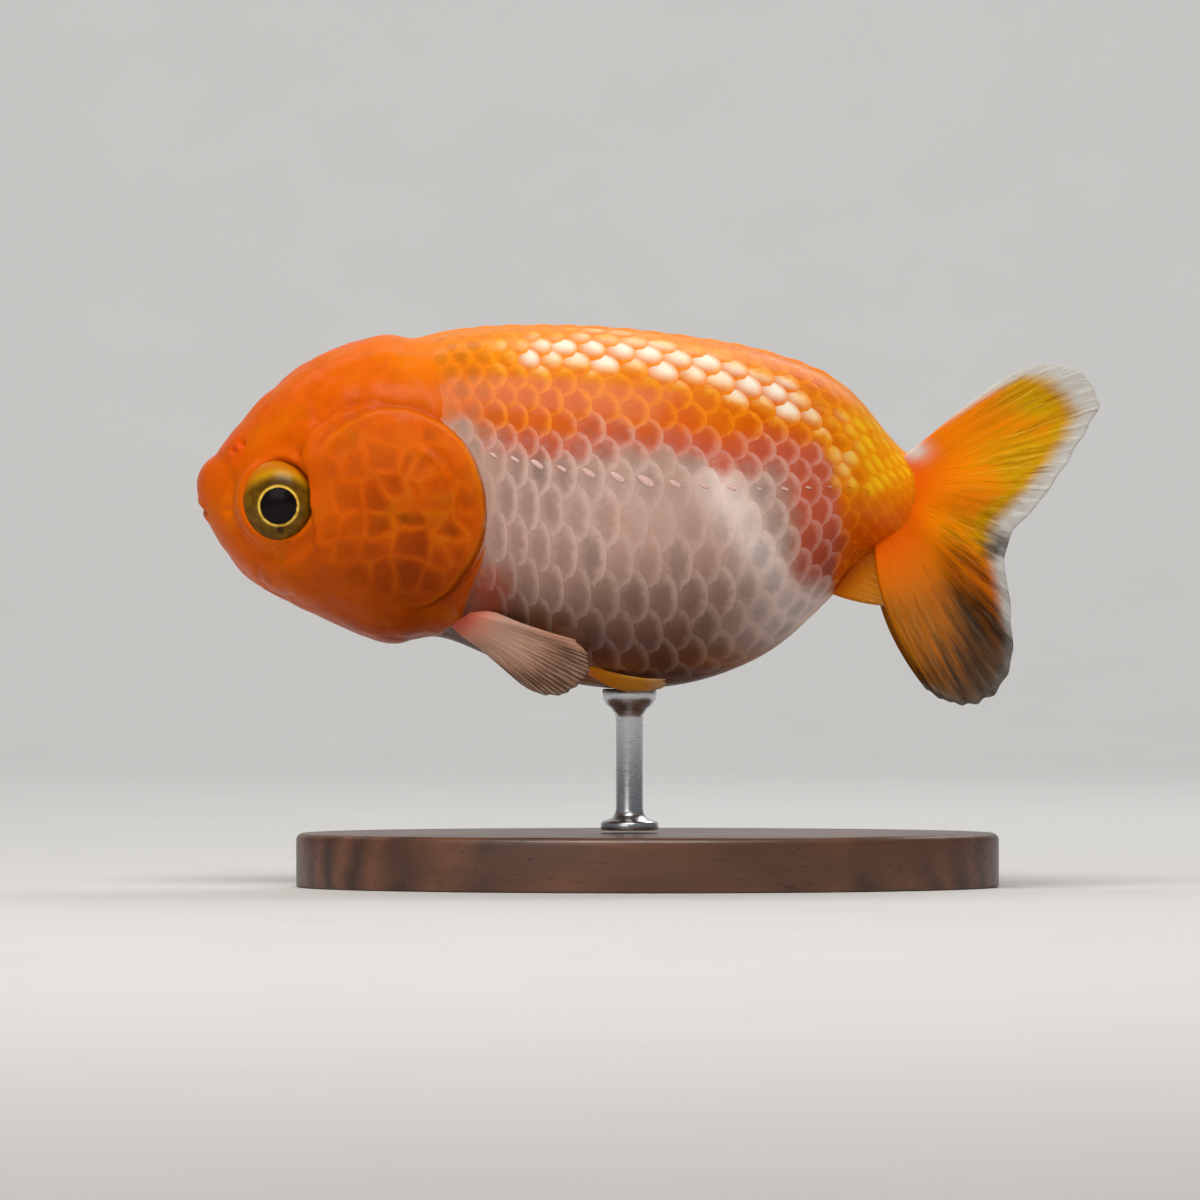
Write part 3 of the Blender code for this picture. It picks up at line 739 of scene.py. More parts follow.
eye_finish, tree, feed = new_finish(
    "eye_finish", Roughness=0.3, Specular_IOR_Level=0.1, Coat_Weight=0.13, Coat_Roughness=0.05,
    Coat_IOR=1.35,
)
across, up = ((way - 0.5) * IRIS_MAP_WIDTH for way in mapped(tree, "iris"))
grain = place_on(tree).speckle(1300.0, 3.0)
radius = length(across, up) + (grain - 0.5) * 0.12
iris = grain.ramp(0.3, 0.75).blend(tone(92, 62, 4), tone(122, 86, 8))
iris = up.ramp(0.5, 2.6, 0.0, 0.6).blend(iris, tone(66, 40, 2))
crescent = up.ramp(1.2, 3.6) * radius.ramp(2.7, 3.9, 0.0, 0.9)
iris = crescent.blend(iris, tone(206, 150, 8))
iris = radius.ramp(3.5, 4.5, 0.0, 0.75).blend(iris, tone(196, 100, 6))
ring = radius.ramp(1.98, 2.08) * radius.ramp(2.4, 2.2)
iris = ring.blend(iris, grain.ramp(0.3, 0.7).blend(tone(206, 150, 24), tone(250, 214, 96)))
spot = length(across - 0.2, up + 2.6)
iris = spot.ramp(0.55, 0.25, 0.0, 0.8).blend(iris, tone(36, 18, 4))
iris = radius.ramp(PUPIL_RADIUS, PUPIL_RADIUS - 0.1).blend(iris, tone(14, 7, 7))
feed(Base_Color=iris, Normal=bump(grain, 0.4, 0.00005))


def eyeball(name, side):
    """Ellipsoid by polar and turning angle about its outward axis, mapped in the side view."""
    centre, axes = eye_axes(side)
    polar = np.linspace(0, math.pi, EYE_RINGS + 2)[1:-1, None]
    turn = side * np.linspace(0, 2 * math.pi, EYE_POINTS, endpoint=False)[None]
    local = np.stack(np.broadcast_arrays(
        np.sin(polar) * np.cos(turn), np.sin(polar) * np.sin(turn), np.cos(polar)), axis=-1)
    local = np.concatenate((local.reshape(-1, 3), [(0, 0, 1), (0, 0, -1)]))
    points = centre + (local * EYE_RADII) @ axes
    faces = tube_faces(EYE_RINGS, EYE_POINTS)
    corner = np.concatenate([group.ravel() for group in faces])
    seen = (points[:, (0, 2)] - PUPIL_AT) / IRIS_MAP_WIDTH + 0.5
    maps = {"OFBake": tube_map(EYE_RINGS, EYE_POINTS), "iris": seen[corner]}
    return add_piece(name, points, faces, {}, maps, eye_finish)


for side, word in SIDES:
    ball = eyeball(f"eyeball_{word}", side)
    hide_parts(f"eye_{word}")


# ---------------------------------------------------------------------------------------------
# Scales
# Thin round plates of bone in rows along the body, each rooted in the skin and lapping over the
# one behind it. They are see-through and soft: dark at the middle, pale at the walls, and with
# a bright crescent at the rear edge, which is a painted highlight like the glints of the back.
# ---------------------------------------------------------------------------------------------
# Columns of scales along the body, as (number, place), and the lateral line's share of the depth
COLUMNS = (
    (-3, -25.2), (0, -17.8), (3, -10.4), (6, -1.3), (9, 8.2), (12, 16.9), (15, 23.6), (19, 30.6),
)
FIRST_COLUMN, COLUMN_COUNT = -4, 24
FIRST_PITCH = 2.4
LEAST_PITCH = 1.3
LATERAL_LINE = ((-26, 0.62), (-18, 0.6), (-1, 0.57), (8, 0.55), (21, 0.48), (29, 0.38), (33, 0.36))
# Whole rows over and under the lateral line, and the rows that would reach each midline
ROWS_ABOVE, ROWS_BELOW = 9, 7
SPAN_ABOVE, SPAN_BELOW = 9.35, 7.3
STALK_FROM = 21
PLATE_GRID = 7
PLATE_LENGTH = 1.95
PLATE_BREADTH = 0.98
PLATE_TILT = 0.16
PLATE_THICKNESS = 0.05
PLATE_SLOPE = 0.022
PLATE_SUNK = 0.04
PLATE_CROWN = 0.05
# Brightest line of the back, where the painted glints lie, as (place, height), and the patches of
# painted golden glints on the tail stalk
GLINT_LINE = (
    (-15, 17.4), (-5, 18.0), (0, 17.4), (4.4, 16.4), (9, 15.1), (13, 13.6), (17, 11.9), (22, 9.0),
)
GOLDEN_GLINT_PATCH = (24.5, 6.0, 4.5, 5.0)
STALK_GLINT = (28.2, 4.8, 1.8, 2.0)
HAZY_PATCH = (3.0, -0.5, 8.0, 5.5)


def row_turns():
    """Table of section angles by place and row share: 0 on the lateral line, 1 at a midline."""
    places = np.linspace(SNOUT + 20, BODY_END - 0.3, 90)
    angles = np.radians(np.linspace(-100, 100, 201))
    ring = flesh(places[:, None], angles[None])
    back, under = section(places)[:2]
    line_z = under + curve_through(LATERAL_LINE, places) * (back - under)
    arcs = np.cumsum(np.linalg.norm(np.diff(ring, axis=1, prepend=ring[:, :1]), axis=-1), axis=1)
    shares = np.linspace(-1.1, 1.1, 89)
    table = []
    for ring_z, arc, height in zip(ring[..., 2], arcs, line_z):
        at = np.interp(height, ring_z[10:-10], arc[10:-10])
        spans = np.where(shares > 0, arc[-11] - at, at - arc[10])
        table.append(np.interp(at + shares * spans, arc, angles))
    return places, shares, np.array(table)


TURN_PLACES, TURN_SHARES, TURN_TABLE = row_turns()


def row_turn(x, share):
    """The table of row_turns read between its entries, along both its sides."""
    def entry(value, axis):
        at = np.clip((value - axis[0]) / (axis[1] - axis[0]), 0, len(axis) - 1.001)
        return at.astype(int), at - at.astype(int)
    i, s = entry(x, TURN_PLACES)
    j, t = entry(share, TURN_SHARES)
    near = TURN_TABLE[i, j] * (1 - t) + TURN_TABLE[i, j + 1] * t
    far = TURN_TABLE[i + 1, j] * (1 - t) + TURN_TABLE[i + 1, j + 1] * t
    return near * (1 - s) + far * s


def rim_of(index):
    """Point numbers round the edge of a grid, once round."""
    return np.concatenate((index[:-1, 0], index[-1, :-1], index[:0:-1, -1], index[0, :0:-1]))


def plate_pattern():
    """One scale: a square grid pressed into a disc, an edge under it, and a fan to close it."""
    line = np.linspace(-1, 1, PLATE_GRID)
    u, v = np.meshgrid(line, line, indexing="ij")
    a, b = (u * np.sqrt(1 - v * v / 2)).ravel(), (v * np.sqrt(1 - u * u / 2)).ravel()
    index = np.arange(a.size).reshape(u.shape)
    edge = rim_of(index)
    under = a.size + np.arange(edge.size)
    sides = np.stack((np.roll(edge, -1), edge, under, np.roll(under, -1)), -1)
    fan = np.stack((np.roll(under, -1), under, np.full(edge.size, under[-1] + 1)), -1)
    spots = np.stack((np.append(a, (*a[edge], 0)), np.append(b, (*b[edge], 0))), -1)
    lowered = np.append(np.zeros(a.size), np.ones(edge.size + 1))
    return spots, lowered, (quads_of(index), sides, fan)


def lay_scales():
    """Row, column, place, row share and pitch of every scale of one side, in staggered rows."""
    rows = np.arange(-ROWS_BELOW, ROWS_ABOVE + 1)
    columns = FIRST_COLUMN + np.arange(COLUMN_COUNT)
    rows, columns = (part.ravel() for part in np.meshgrid(rows, columns, indexing="ij"))
    number = columns + 0.5 * (rows % 2)
    x = curve_through(COLUMNS, number) - FIRST_PITCH * np.maximum(COLUMNS[0][0] - number, 0)
    pitch = curve_through(COLUMNS, number + 0.5) - curve_through(COLUMNS, number - 0.5)
    share = rows / np.where(rows > 0, SPAN_ABOVE, SPAN_BELOW)
    z = flesh(x, row_turn(x, share))[:, 2]
    keep = (x > curve_through(HEAD_REAR, z) - 0.7) & (x < 30.0 - 0.03 * (z - 1.0) ** 2)
    scales = {"row": rows, "column": columns, "x": x, "share": share,
              "pitch": np.maximum(pitch, LEAST_PITCH)}
    return {key: part[keep] for key, part in scales.items()}


def scale_shine(x, z, luck, past):
    """How much painted glint each point takes, along the back and on the stalk, and how
    firmly the scale's pattern shows: less in the haze on the flank, at the ridge, on the
    stalk and by the head."""
    above = z - curve_through(GLINT_LINE, x)
    glint = hump(np.where(above > 0, above / 2.2, above / 3.4))
    glint *= step(-23.0, -9.0, x) * (1 - 0.4 * step(13.0, 20.0, x)) * (0.5 + 0.5 * luck[:, 2])
    golden = np.where(luck[:, 2] > 0.5, 0.8, 0.15) * hump(oval(x, z, *GOLDEN_GLINT_PATCH))
    glint = np.max((glint, golden, 0.75 * hump(oval(x, z, *STALK_GLINT))), axis=0)
    firm = (1 - 0.7 * hump(oval(x, z, *HAZY_PATCH))) * (0.65 + 0.35 * luck[:, 1])
    firm *= 1 - 0.45 * step(-2.2, -0.8, z - section(x)[0])
    firm *= 1 - 0.6 * step(21.0, 26.0, x)
    firm *= 0.3 + 0.7 * step(-0.5, 3.5, past)
    return glint, firm


def scale_maps(scales, spots, corners):
    """Flat maps of the joined scales: the disc itself, and for the bake one patch for each
    scale at its row and column, with its face to the left and its underside to the right."""
    cells = np.array((COLUMN_COUNT + 0.5, ROWS_ABOVE + ROWS_BELOW + 1))
    home = np.stack((scales["column"] - FIRST_COLUMN + 0.5 * (scales["row"] % 2),
                     scales["row"] + ROWS_BELOW), -1) / cells
    flat = [(spots[group].reshape(-1, 2) + 1) / 2 for group in corners]
    face, *beneath = flat
    patches = [(0.04, 0.04) + face * (0.66, 0.92)]
    patches += [(0.76, 0.3) + part * (0.2, 0.4) for part in beneath]

    def spread(groups):
        return np.concatenate([group.reshape(-1, 2) for group in groups])
    return {"OFBake": spread([home[:, None] + patch / cells for patch in patches]),
            "lie": spread([np.broadcast_to(part, (len(home), *part.shape)) for part in flat])}


def scale_piece(name, side, scales):
    """Joined mesh of scales: each point of the disc (a, b) lies at its root's place, a along
    the row and b across it, raised by slope * a + crown * (1 - b^2)."""
    spots, lowered, faces = plate_pattern()
    rows, columns, x, share, pitch = (part[:, None] for part in scales.values())
    luck = scatter(np.hstack((rows, columns, 0 * rows + side)).astype(float), 41)[..., None]
    tilt = (luck[:, 0] - 0.5) * PLATE_TILT
    a = spots[:, 0] * np.cos(tilt) - spots[:, 1] * np.sin(tilt)
    b = spots[:, 0] * np.sin(tilt) + spots[:, 1] * np.cos(tilt)
    size = 1 + 0.06 * (luck[:, 1] - 0.5)
    length_each = PLATE_LENGTH * pitch * size
    at_x = np.minimum(x + a * length_each / 2, BODY_END - 0.4)
    at_share = share + b * PLATE_BREADTH * size / np.where(share > 0, SPAN_ABOVE, SPAN_BELOW)
    turn = row_turn(at_x, at_share)
    base = flesh(at_x, turn)
    bed = coat_bed(base.reshape(-1, 3)).reshape(at_x.shape)
    lift = PLATE_SLOPE * (a + 1) * length_each / 2
    lift = lift + PLATE_CROWN * (1 - b * b) * (0.3 + 0.35 * (a + 1))
    lift = lift * (1 - 0.35 * step(19.0, 23.0, at_x) * step(28.0, 25.0, at_x)) - PLATE_SUNK
    lift = lift - 0.03 * step(0.9, 1.0, np.hypot(*spots.T)) - PLATE_THICKNESS * lowered
    lift = lift - COAT_DEPTH * bed - 0.2 * (1 - bed)
    points = (base + outward(at_x, turn) * lift[..., None]) * (1, side, 1)

    # Each scale takes the markings of a place between its root and its middle
    middle = x * 0.2 + at_x * 0.8 + 0.1 * length_each
    middle_turn = row_turn(np.minimum(middle, BODY_END - 0.5), share * 0.2 + at_share * 0.8)
    place = flesh(middle, middle_turn)
    zones, painted_shade = markings((place * (1, side, 1)).reshape(-1, 3))
    past = past_head(base.reshape(-1, 3)).reshape(at_x.shape)
    glint, firm = scale_shine(at_x, base[..., 2], luck, past)
    plate = np.stack(np.broadcast_arrays(luck[:, 0], glint, bed, firm), -1).reshape(-1, 4)

    order = 1 if side < 0 else -1
    corners = [group[:, ::order] for group in faces]
    start = (np.arange(len(x)) * len(spots))[:, None, None]
    joined = [(group + start).reshape(-1, group.shape[1]) for group in corners]
    piece = add_piece(
        name, points.reshape(-1, 3), joined, {"zones": zones, "painted_shade": painted_shade, "plate": plate},
        scale_maps(scales, spots, corners), scale_finish,
    )
    # The rim of each face is a crisp edge, so that the faces stay flat up to it
    ends = np.empty(len(piece.data.edges) * 2, int)
    piece.data.edges.foreach_get("vertices", ends)
    on_rim = np.isin(ends % len(spots), faces[1][:, :2]).reshape(-1, 2).all(axis=1)
    piece.data.attributes.new("sharp_edge", "BOOLEAN", "EDGE").data.foreach_set("value", on_rim)
    return piece


scale_finish, tree, feed = new_finish(
    "scale_finish", glow=(1.0, 0.55, 0.35), Subsurface_Weight=0.12, Subsurface_Scale=0.0009,
    Coat_Weight=0.08, Coat_Roughness=0.14, Specular_IOR_Level=0.06,
)
plain_colour, orange = marks_on(tree)
luck, glint, cover = kept(tree, "plate", "Color").parts()
firm = kept(tree, "plate", "Alpha") * cover.ramp(0.35, 1.0)
shadow = kept(tree, "painted_shade")
flushed = kept(tree, "zones", "Color").parts()[1]
along, across = (way * 2.0 - 1.0 for way in mapped(tree, "lie"))
radius = length(along, across)
place = place_on(tree)
behind = place.parts("XYZ")[0]
cloud = place.speckle(1100.0)

# Dark middle of each scale: grey on the flank, deep orange elsewhere, olive at the nape
nape = behind.ramp(snout_x + 0.036, snout_x + 0.028)
greyer = luck.blend(tone(200, 190, 190), tone(172, 180, 184))
# Where the painted shade or the blush lies, the middles are a lighter grey
greyer = shadow.maths("MAXIMUM", flushed).blend(greyer, tone(222, 216, 216))
deeper = plain_colour.passing_to(nape.blend(tone(204, 84, 0), tone(140, 78, 6)), 0.75)
dark = orange.blend(plain_colour.tinted(greyer), deeper)
from_middle = length((along - 0.42) * 2.3, across * 1.6) + (cloud * 1.1 - 0.55)
dark_share = from_middle.ramp(1.25, 0.25) * (luck * 0.3 + 0.6) * firm
colour = dark_share.blend(plain_colour, dark)

# Pale wall round it
# Under the painted shade the walls are less pale
pale = (shadow * -0.38 + 0.6).blend(plain_colour, tone(236, 202, 188))
pale = orange.blend(pale, tone(255, 148, 16))
wall = (cloud * 0.3 + radius).ramp(0.8, 1.12, 0.0, 0.66) * firm * (nape * -0.7 + 1.0)
colour = wall.blend(colour, pale)

# Painted highlight: a bright fan on its upper rear part, white along the back and golden on the stalk
stalk = behind.ramp(snout_x + 0.068, snout_x + 0.074)
from_rear = along - (luck * 0.45 + stalk * 0.2)
fan = from_rear.ramp(-0.6, 0.3) * across.ramp(-0.7, 0.3) * radius.ramp(1.05, 0.7, 0.2, 0.95)
fan = fan * (glint * (cloud + 0.5)).ramp(0.1, 0.5)
gleam = glint.ramp(0.25, 0.7).blend(tone(255, 176, 36), tone(255, 244, 218))
colour = fan.blend(colour, stalk.blend(gleam, tone(255, 196, 24)))
rings = (radius * 60.0).maths("SINE")
feed(Base_Color=colour, Roughness=cloud * 0.2 + 0.24,
     Normal=bump(rings * 0.12 + cloud, 0.25, 0.00003))

layout = lay_scales()
for side, word in SIDES:
    for part, chosen, slot in (
        ("back", (layout["row"] > 0) & (layout["x"] < STALK_FROM), "flank_skin"),
        ("flank", (layout["row"] <= 0) & (layout["x"] < STALK_FROM), "flank_skin"),
        ("stalk", layout["x"] >= STALK_FROM, "stalk_skin"),
    ):
        scales = {key: values[chosen] for key, values in layout.items()}
        scale_piece(f"scales_{part}_{word}", side, scales)


# ---------------------------------------------------------------------------------------------
# Lateral line
# A row of small tubes of clear bone, one lying on each scale of the middle row but the first.
# They slant down towards the tail and shine pinkish white, a colour partly their own and partly
# painted highlight.
# ---------------------------------------------------------------------------------------------
TUBE_LENGTH, TUBE_WIDTH, TUBE_HEIGHT = 1.5, 0.7, 0.08
TUBE_DIP = 0.32
# Millimetres of skin from the lateral line to a midline
ROW_REACH = 24.0
TUBE_POINTS, TUBE_RINGS = 12, 4

lateral_finish, tree, feed = new_finish(
    "lateral_tube_finish", Roughness=0.3, Coat_Weight=0.3, Coat_Roughness=0.15,
    Subsurface_Weight=0.2, Subsurface_Scale=0.0004, Specular_IOR_Level=0.2,
)
colour, orange = marks_on(tree)
cloud = place_on(tree).speckle(2200.0).ramp(0.35, 0.7, 0.0, 0.4)
# The tubes' pale pink, orange on the saddle, is partly their own colour and partly painted highlight
shine = orange.blend(tone(228, 184, 174), tone(255, 142, 30))
feed(Base_Color=cloud.blend(shine, colour))


def lateral_line(name, side):
    """Half ellipsoids laid along the row: a along it and slanting down, b across it."""
    on_line = layout["row"] == 0
    on_line &= layout["x"] > layout["x"][on_line].min() + 0.1
    x, share, pitch = (layout[key][on_line][:, None] for key in ("x", "share", "pitch"))
    polar = np.linspace(0, math.pi / 2, TUBE_RINGS + 1)[1:, None]
    turn = np.linspace(0, 2 * math.pi, TUBE_POINTS, endpoint=False)[None]
    a = np.append((np.sin(polar) * np.cos(turn)).ravel(), 0)
    b = np.append((np.sin(polar) * np.sin(turn)).ravel(), 0)
    c = np.append((np.cos(polar) + 0 * turn).ravel(), 1)
    grow = np.clip(pitch / 3.0, 0.6, 1.1) * (1 - 0.45 * step(-2, 12, x))
    grow = grow * (0.75 + 0.5 * scatter(np.hstack((x, share, 0 * x)), 5)[:, :1])
    along = x + 0.35 * pitch + grow * TUBE_LENGTH / 2 * a
    drop = grow / 2 * (TUBE_WIDTH * b - TUBE_DIP * TUBE_LENGTH * a) + 0.25
    turns = row_turn(along, share + drop / ROW_REACH)
    on_plate = PLATE_SLOPE * 1.35 * pitch * 0.98 - PLATE_SUNK + 0.06
    lift = on_plate + TUBE_HEIGHT * c - COAT_DEPTH
    points = (flesh(along, turns) + outward(along, turns) * lift[..., None]) * (1, side, 1)
    index = np.arange(TUBE_RINGS * TUBE_POINTS).reshape(TUBE_RINGS, TUBE_POINTS)
    index = np.concatenate((index, index[:, :1]), axis=1)
    cap = np.stack((index[0, :-1], index[0, 1:], np.full(TUBE_POINTS, index.max() + 1)), -1)
    order = -1 if side < 0 else 1
    start = (np.arange(len(x)) * a.size)[:, None, None]
    groups = [(group[:, ::order] + start).reshape(-1, group.shape[1])
              for group in (quads_of(index), cap, index[-1:, -2::-1])]
    zones, painted_shade = markings(points.reshape(-1, 3))
    values = {"zones": zones, "painted_shade": painted_shade}
    return add_piece(name, points.reshape(-1, 3), groups, values, {}, lateral_finish)


for side, word in SIDES:
    lateral_line(f"lateral_line_{word}", side)


# ---------------------------------------------------------------------------------------------
# Fins
# Soft webs of skin stretched over bony rays that start side by side in the flesh and branch
# towards the margin. Each half of the double tail is one fin, orange at the root, smoky or
# milky and see-through at the margin.
# ---------------------------------------------------------------------------------------------
# Key rays as (root, bow, tip), with y outwards
TAIL_RAYS = (
    ((27.4, 0.9, 5.1), (0.2, 0.4, 1.2), (43.4, 6.4, 15.9)),
    ((28.2, 1.2, 4.2), (0.0, 0.5, 0.9), (47.4, 8.0, 15.1)),
    ((28.6, 1.5, 3.3), (0.0, 0.6, 0.5), (49.6, 9.0, 11.9)),
    ((28.9, 1.8, 2.6), (0.0, 0.7, 0.2), (47.2, 9.8, 6.8)),
    ((29.0, 2.0, 1.8), (0.0, 0.8, 0.0), (43.9, 10.2, 1.6)),
    ((29.0, 2.1, 0.85), (0.0, 0.8, 0.0), (39.6, 9.5, -4.1)),
    ((28.8, 2.3, -0.5), (0.0, 0.8, 0.0), (39.7, 12.0, -10.2)),
    ((28.3, 2.4, -1.4), (-0.2, 0.7, 0.0), (39.7, 14.6, -17.0)),
    ((27.5, 2.4, -2.3), (-0.6, 0.6, 0.0), (37.0, 16.0, -21.1)),
    ((26.4, 2.3, -3.2), (-1.2, 0.5, 0.0), (34.0, 15.6, -21.7)),
    ((25.2, 2.1, -4.0), (-1.8, 0.4, 0.0), (31.5, 14.2, -20.3)),
)
# The bows of the upper lobe peak further out than those of the lower
TAIL_POWERS = [2] * 5 + [1.5] + [1] * 5
PECTORAL_RAYS = (
    ((-19.0, 10.9, -10.9), (0.0, 1.3, -0.1), (-8.1, 15.6, -14.5)),
    ((-19.4, 10.3, -11.5), (0.0, 1.3, 0.0), (-6.5, 16.2, -16.4)),
    ((-19.8, 9.6, -12.0), (0.0, 1.2, 0.0), (-6.8, 16.6, -18.6)),
    ((-20.1, 8.9, -12.5), (0.0, 1.0, 0.0), (-9.0, 16.4, -20.4)),
    ((-20.3, 8.1, -12.9), (0.0, 0.8, 0.0), (-12.0, 15.0, -20.4)),
    ((-20.5, 7.4, -13.3), (0.0, 0.6, 0.0), (-14.6, 13.0, -18.6)),
)
PELVIC_RAYS = (
    ((-10.4, 6.8, -15.6), (0.0, 0.7, -0.8), (1.8, 8.6, -18.9)),
    ((-9.6, 6.2, -16.0), (0.0, 0.7, -0.9), (1.9, 7.7, -19.6)),
    ((-8.6, 5.6, -16.4), (0.0, 0.6, -0.9), (0.4, 6.7, -20.1)),
    ((-7.6, 5.2, -16.8), (0.0, 0.4, -0.7), (-2.4, 5.9, -20.2)),
)
ANAL_RAYS = (
    ((19.8, 1.2, -9.2), (0.0, 0.1, -0.3), (26.4, 1.9, -10.8)),
    ((21.2, 1.2, -7.4), (0.0, 0.1, -0.2), (28.0, 2.1, -10.2)),
    ((22.8, 1.2, -5.6), (0.0, 0.1, 0.0), (28.6, 2.2, -8.6)),
    ((24.2, 1.2, -4.2), (0.0, 0.1, 0.0), (28.2, 2.1, -6.8)),
)
SUNK_ROOT = -0.07
MARGIN = 0.34
MARGIN_ROUNDING = 0.35
RAYS_DIVIDE = (0.4, 0.62)
# Width of the tail's milky margin by ray, and the share of each ray where smoke sets in
MILK_BAND = (
    (0, 4.2), (0.1, 4.2), (0.2, 3.1), (0.3, 2.3), (0.42, 2.3), (0.5, 1.8), (0.6, 1.9),
    (0.7, 1.1), (0.8, 0.3), (1, 0.2),
)
SMOKE_START = ((0.55, 0.5), (0.68, 0.42), (0.8, 0.52), (0.9, 0.68), (1, 0.76))
YELLOW_PATCHES = (
    (43.4, 12.0, 4.6, 3.6, 1.2), (42.4, 4.4, 5.0, 5.2, 1.2), (37.0, -2.6, 4.0, 2.4, 0.7),
)
MILK_PATCHES = ((29.8, 6.4, 1.5, 1.1, 0.95),)
SMOKE_PATCHES = ((38.6, -4.5, 2.3, 1.5, 0.85),)


def fin_web(rays, powers, u, v):
    """Middle of a fin: root + u (tip - root) + w bow, where w is u^p (1 - u) scaled to 1 at its
    peak, and everything between the key rays lies on a smooth curve through them."""
    places = np.linspace(0, 1, len(rays))
    root, bow, tip = (
        np.stack([curve_through(list(zip(places, column)), v) for column in np.array(part).T], -1)
        for part in zip(*rays)
    )
    p = np.interp(v, places, powers)[..., None]
    rise = np.maximum(u, 0)[..., None]
    w = rise ** p * (1 - rise) / (p ** p / (p + 1) ** (p + 1))
    return root + u[..., None] * (tip - root) + w * bow


def width_of(web):
    """Length of each line of a web from its first ray to its last."""
    return np.linalg.norm(np.diff(web, axis=1), axis=-1).sum(1)[:, None]


def fin_maps(u, v, faces, order):
    """Flat maps of a fin: its rays' own (u, v), and for the bake the front face, the rear face
    beside it and the rim as a strip over both."""
    lengthwise = (u - SUNK_ROOT) / (1 - SUNK_ROOT)
    front = np.stack((0.01 + 0.47 * lengthwise, 0.01 + 0.92 * v), -1).reshape(-1, 2)
    bake = np.concatenate((front, front + (0.51, 0)))
    one = 1 / len(faces[2])
    way = np.arange(len(faces[2]))[:, None, None] * one
    strip = way * (1, 0) + np.array([(one, 0), (0, 0), (0, 1), (one, 1)])[::order]
    strip = strip * (0.96, 0.02) + (0.02, 0.96)
    sheets = [bake[group] for group in faces[:2]] + [strip]
    rays = np.tile(np.stack((u.ravel(), v.ravel()), -1), (2, 1))
    return {"OFBake": np.concatenate([sheet.reshape(-1, 2) for sheet in sheets]),
            "rays": np.concatenate([rays[group].reshape(-1, 2) for group in faces])}


def fin_piece(name, side, rays, size, ray_count, root, zones_of, finish,
              powers=None, ruffle=0.0, arm=0.0):
    """A closed sheet: the web with a wall of its thickness on both faces. The wall thins from
    root to margin, is rounded at the margin, and swells over each ray, whose ridges divide in
    two halfway out: cos(turns * rays * v) passing over to twice as many."""
    along, across = size
    u, v = np.meshgrid(np.linspace(SUNK_ROOT, 1, along), np.linspace(0, 1, across), indexing="ij")
    once, twice = (
        0.5 + 0.5 * np.cos(2 * math.pi * count * v) for count in (ray_count, 2 * ray_count)
    )
    ragged = swell(np.stack((v * ray_count * 1.3, 0 * v, 0 * v), -1).reshape(-1, 3), 1.0, 61)
    ragged = (ragged.reshape(v.shape) - 0.5) * (1 - 0.7 * step(0.72, 0.86, v))
    reach = 1 + (0.028 * ragged - 0.012 * (1 - once)) * step(0.6, 1, u)
    web = fin_web(rays, powers or [1] * len(rays), u * reach, v)
    normal = np.cross(np.gradient(web, axis=0), np.gradient(web, axis=1))
    normal /= np.linalg.norm(normal, axis=-1, keepdims=True) + 1e-9
    span = np.linalg.norm(web[-1] - web[0], axis=-1)[None]
    edge = np.minimum((1 - u) * span, np.minimum(v, 1 - v) * width_of(web))
    rounding = np.sqrt(np.clip(edge / MARGIN_ROUNDING, 0.02, 1))
    out = np.clip(u, 0, 1)
    ridges = (once + (twice - once) * step(*RAYS_DIVIDE, u)) * step(0.3, 0.6, u)
    wall = (root * (1 - out) ** 1.4 + MARGIN * out) * (0.96 + 0.04 * ridges) + 0.02 * ridges
    wall = (wall + arm * hump((u - 0.12) / 0.2) * np.sin(math.pi * v) ** 0.5) * rounding
    folds = ruffle * np.sin(2 * math.pi * 2.3 * v + 0.6) * step(0.1, 1, u)
    folds = folds * (1 - 0.6 * step(0.6, 0.8, v))
    folds = folds + 0.02 * np.sin(2 * math.pi * ray_count * v) * step(0.3, 0.9, u)
    web = web + normal * folds[..., None]
    half_wall = normal * wall[..., None] / 2
    points = np.concatenate((web + half_wall, web - half_wall)).reshape(-1, 3) * (1, side, 1)

    index = np.arange(u.size).reshape(u.shape)
    loop = rim_of(index)
    after = np.roll(loop, -1)
    rim = np.stack((after, loop, loop + u.size, after + u.size), -1)
    order = 1 if side > 0 else -1
    quads = quads_of(index)
    faces = [group[:, ::order] for group in (quads, quads[:, ::-1] + u.size, rim)]
    gaps = ((1 - u) * span).ravel(), (v * width_of(web)).ravel()
    zones, painted_shade = zones_of(u.ravel(), v.ravel(), web.reshape(-1, 3), *gaps)
    values = {"zones": np.tile(zones, (2, 1)), "painted_shade": np.tile(painted_shade, 2)}
    return add_piece(name, points, faces, values, fin_maps(u, v, faces, order), finish)


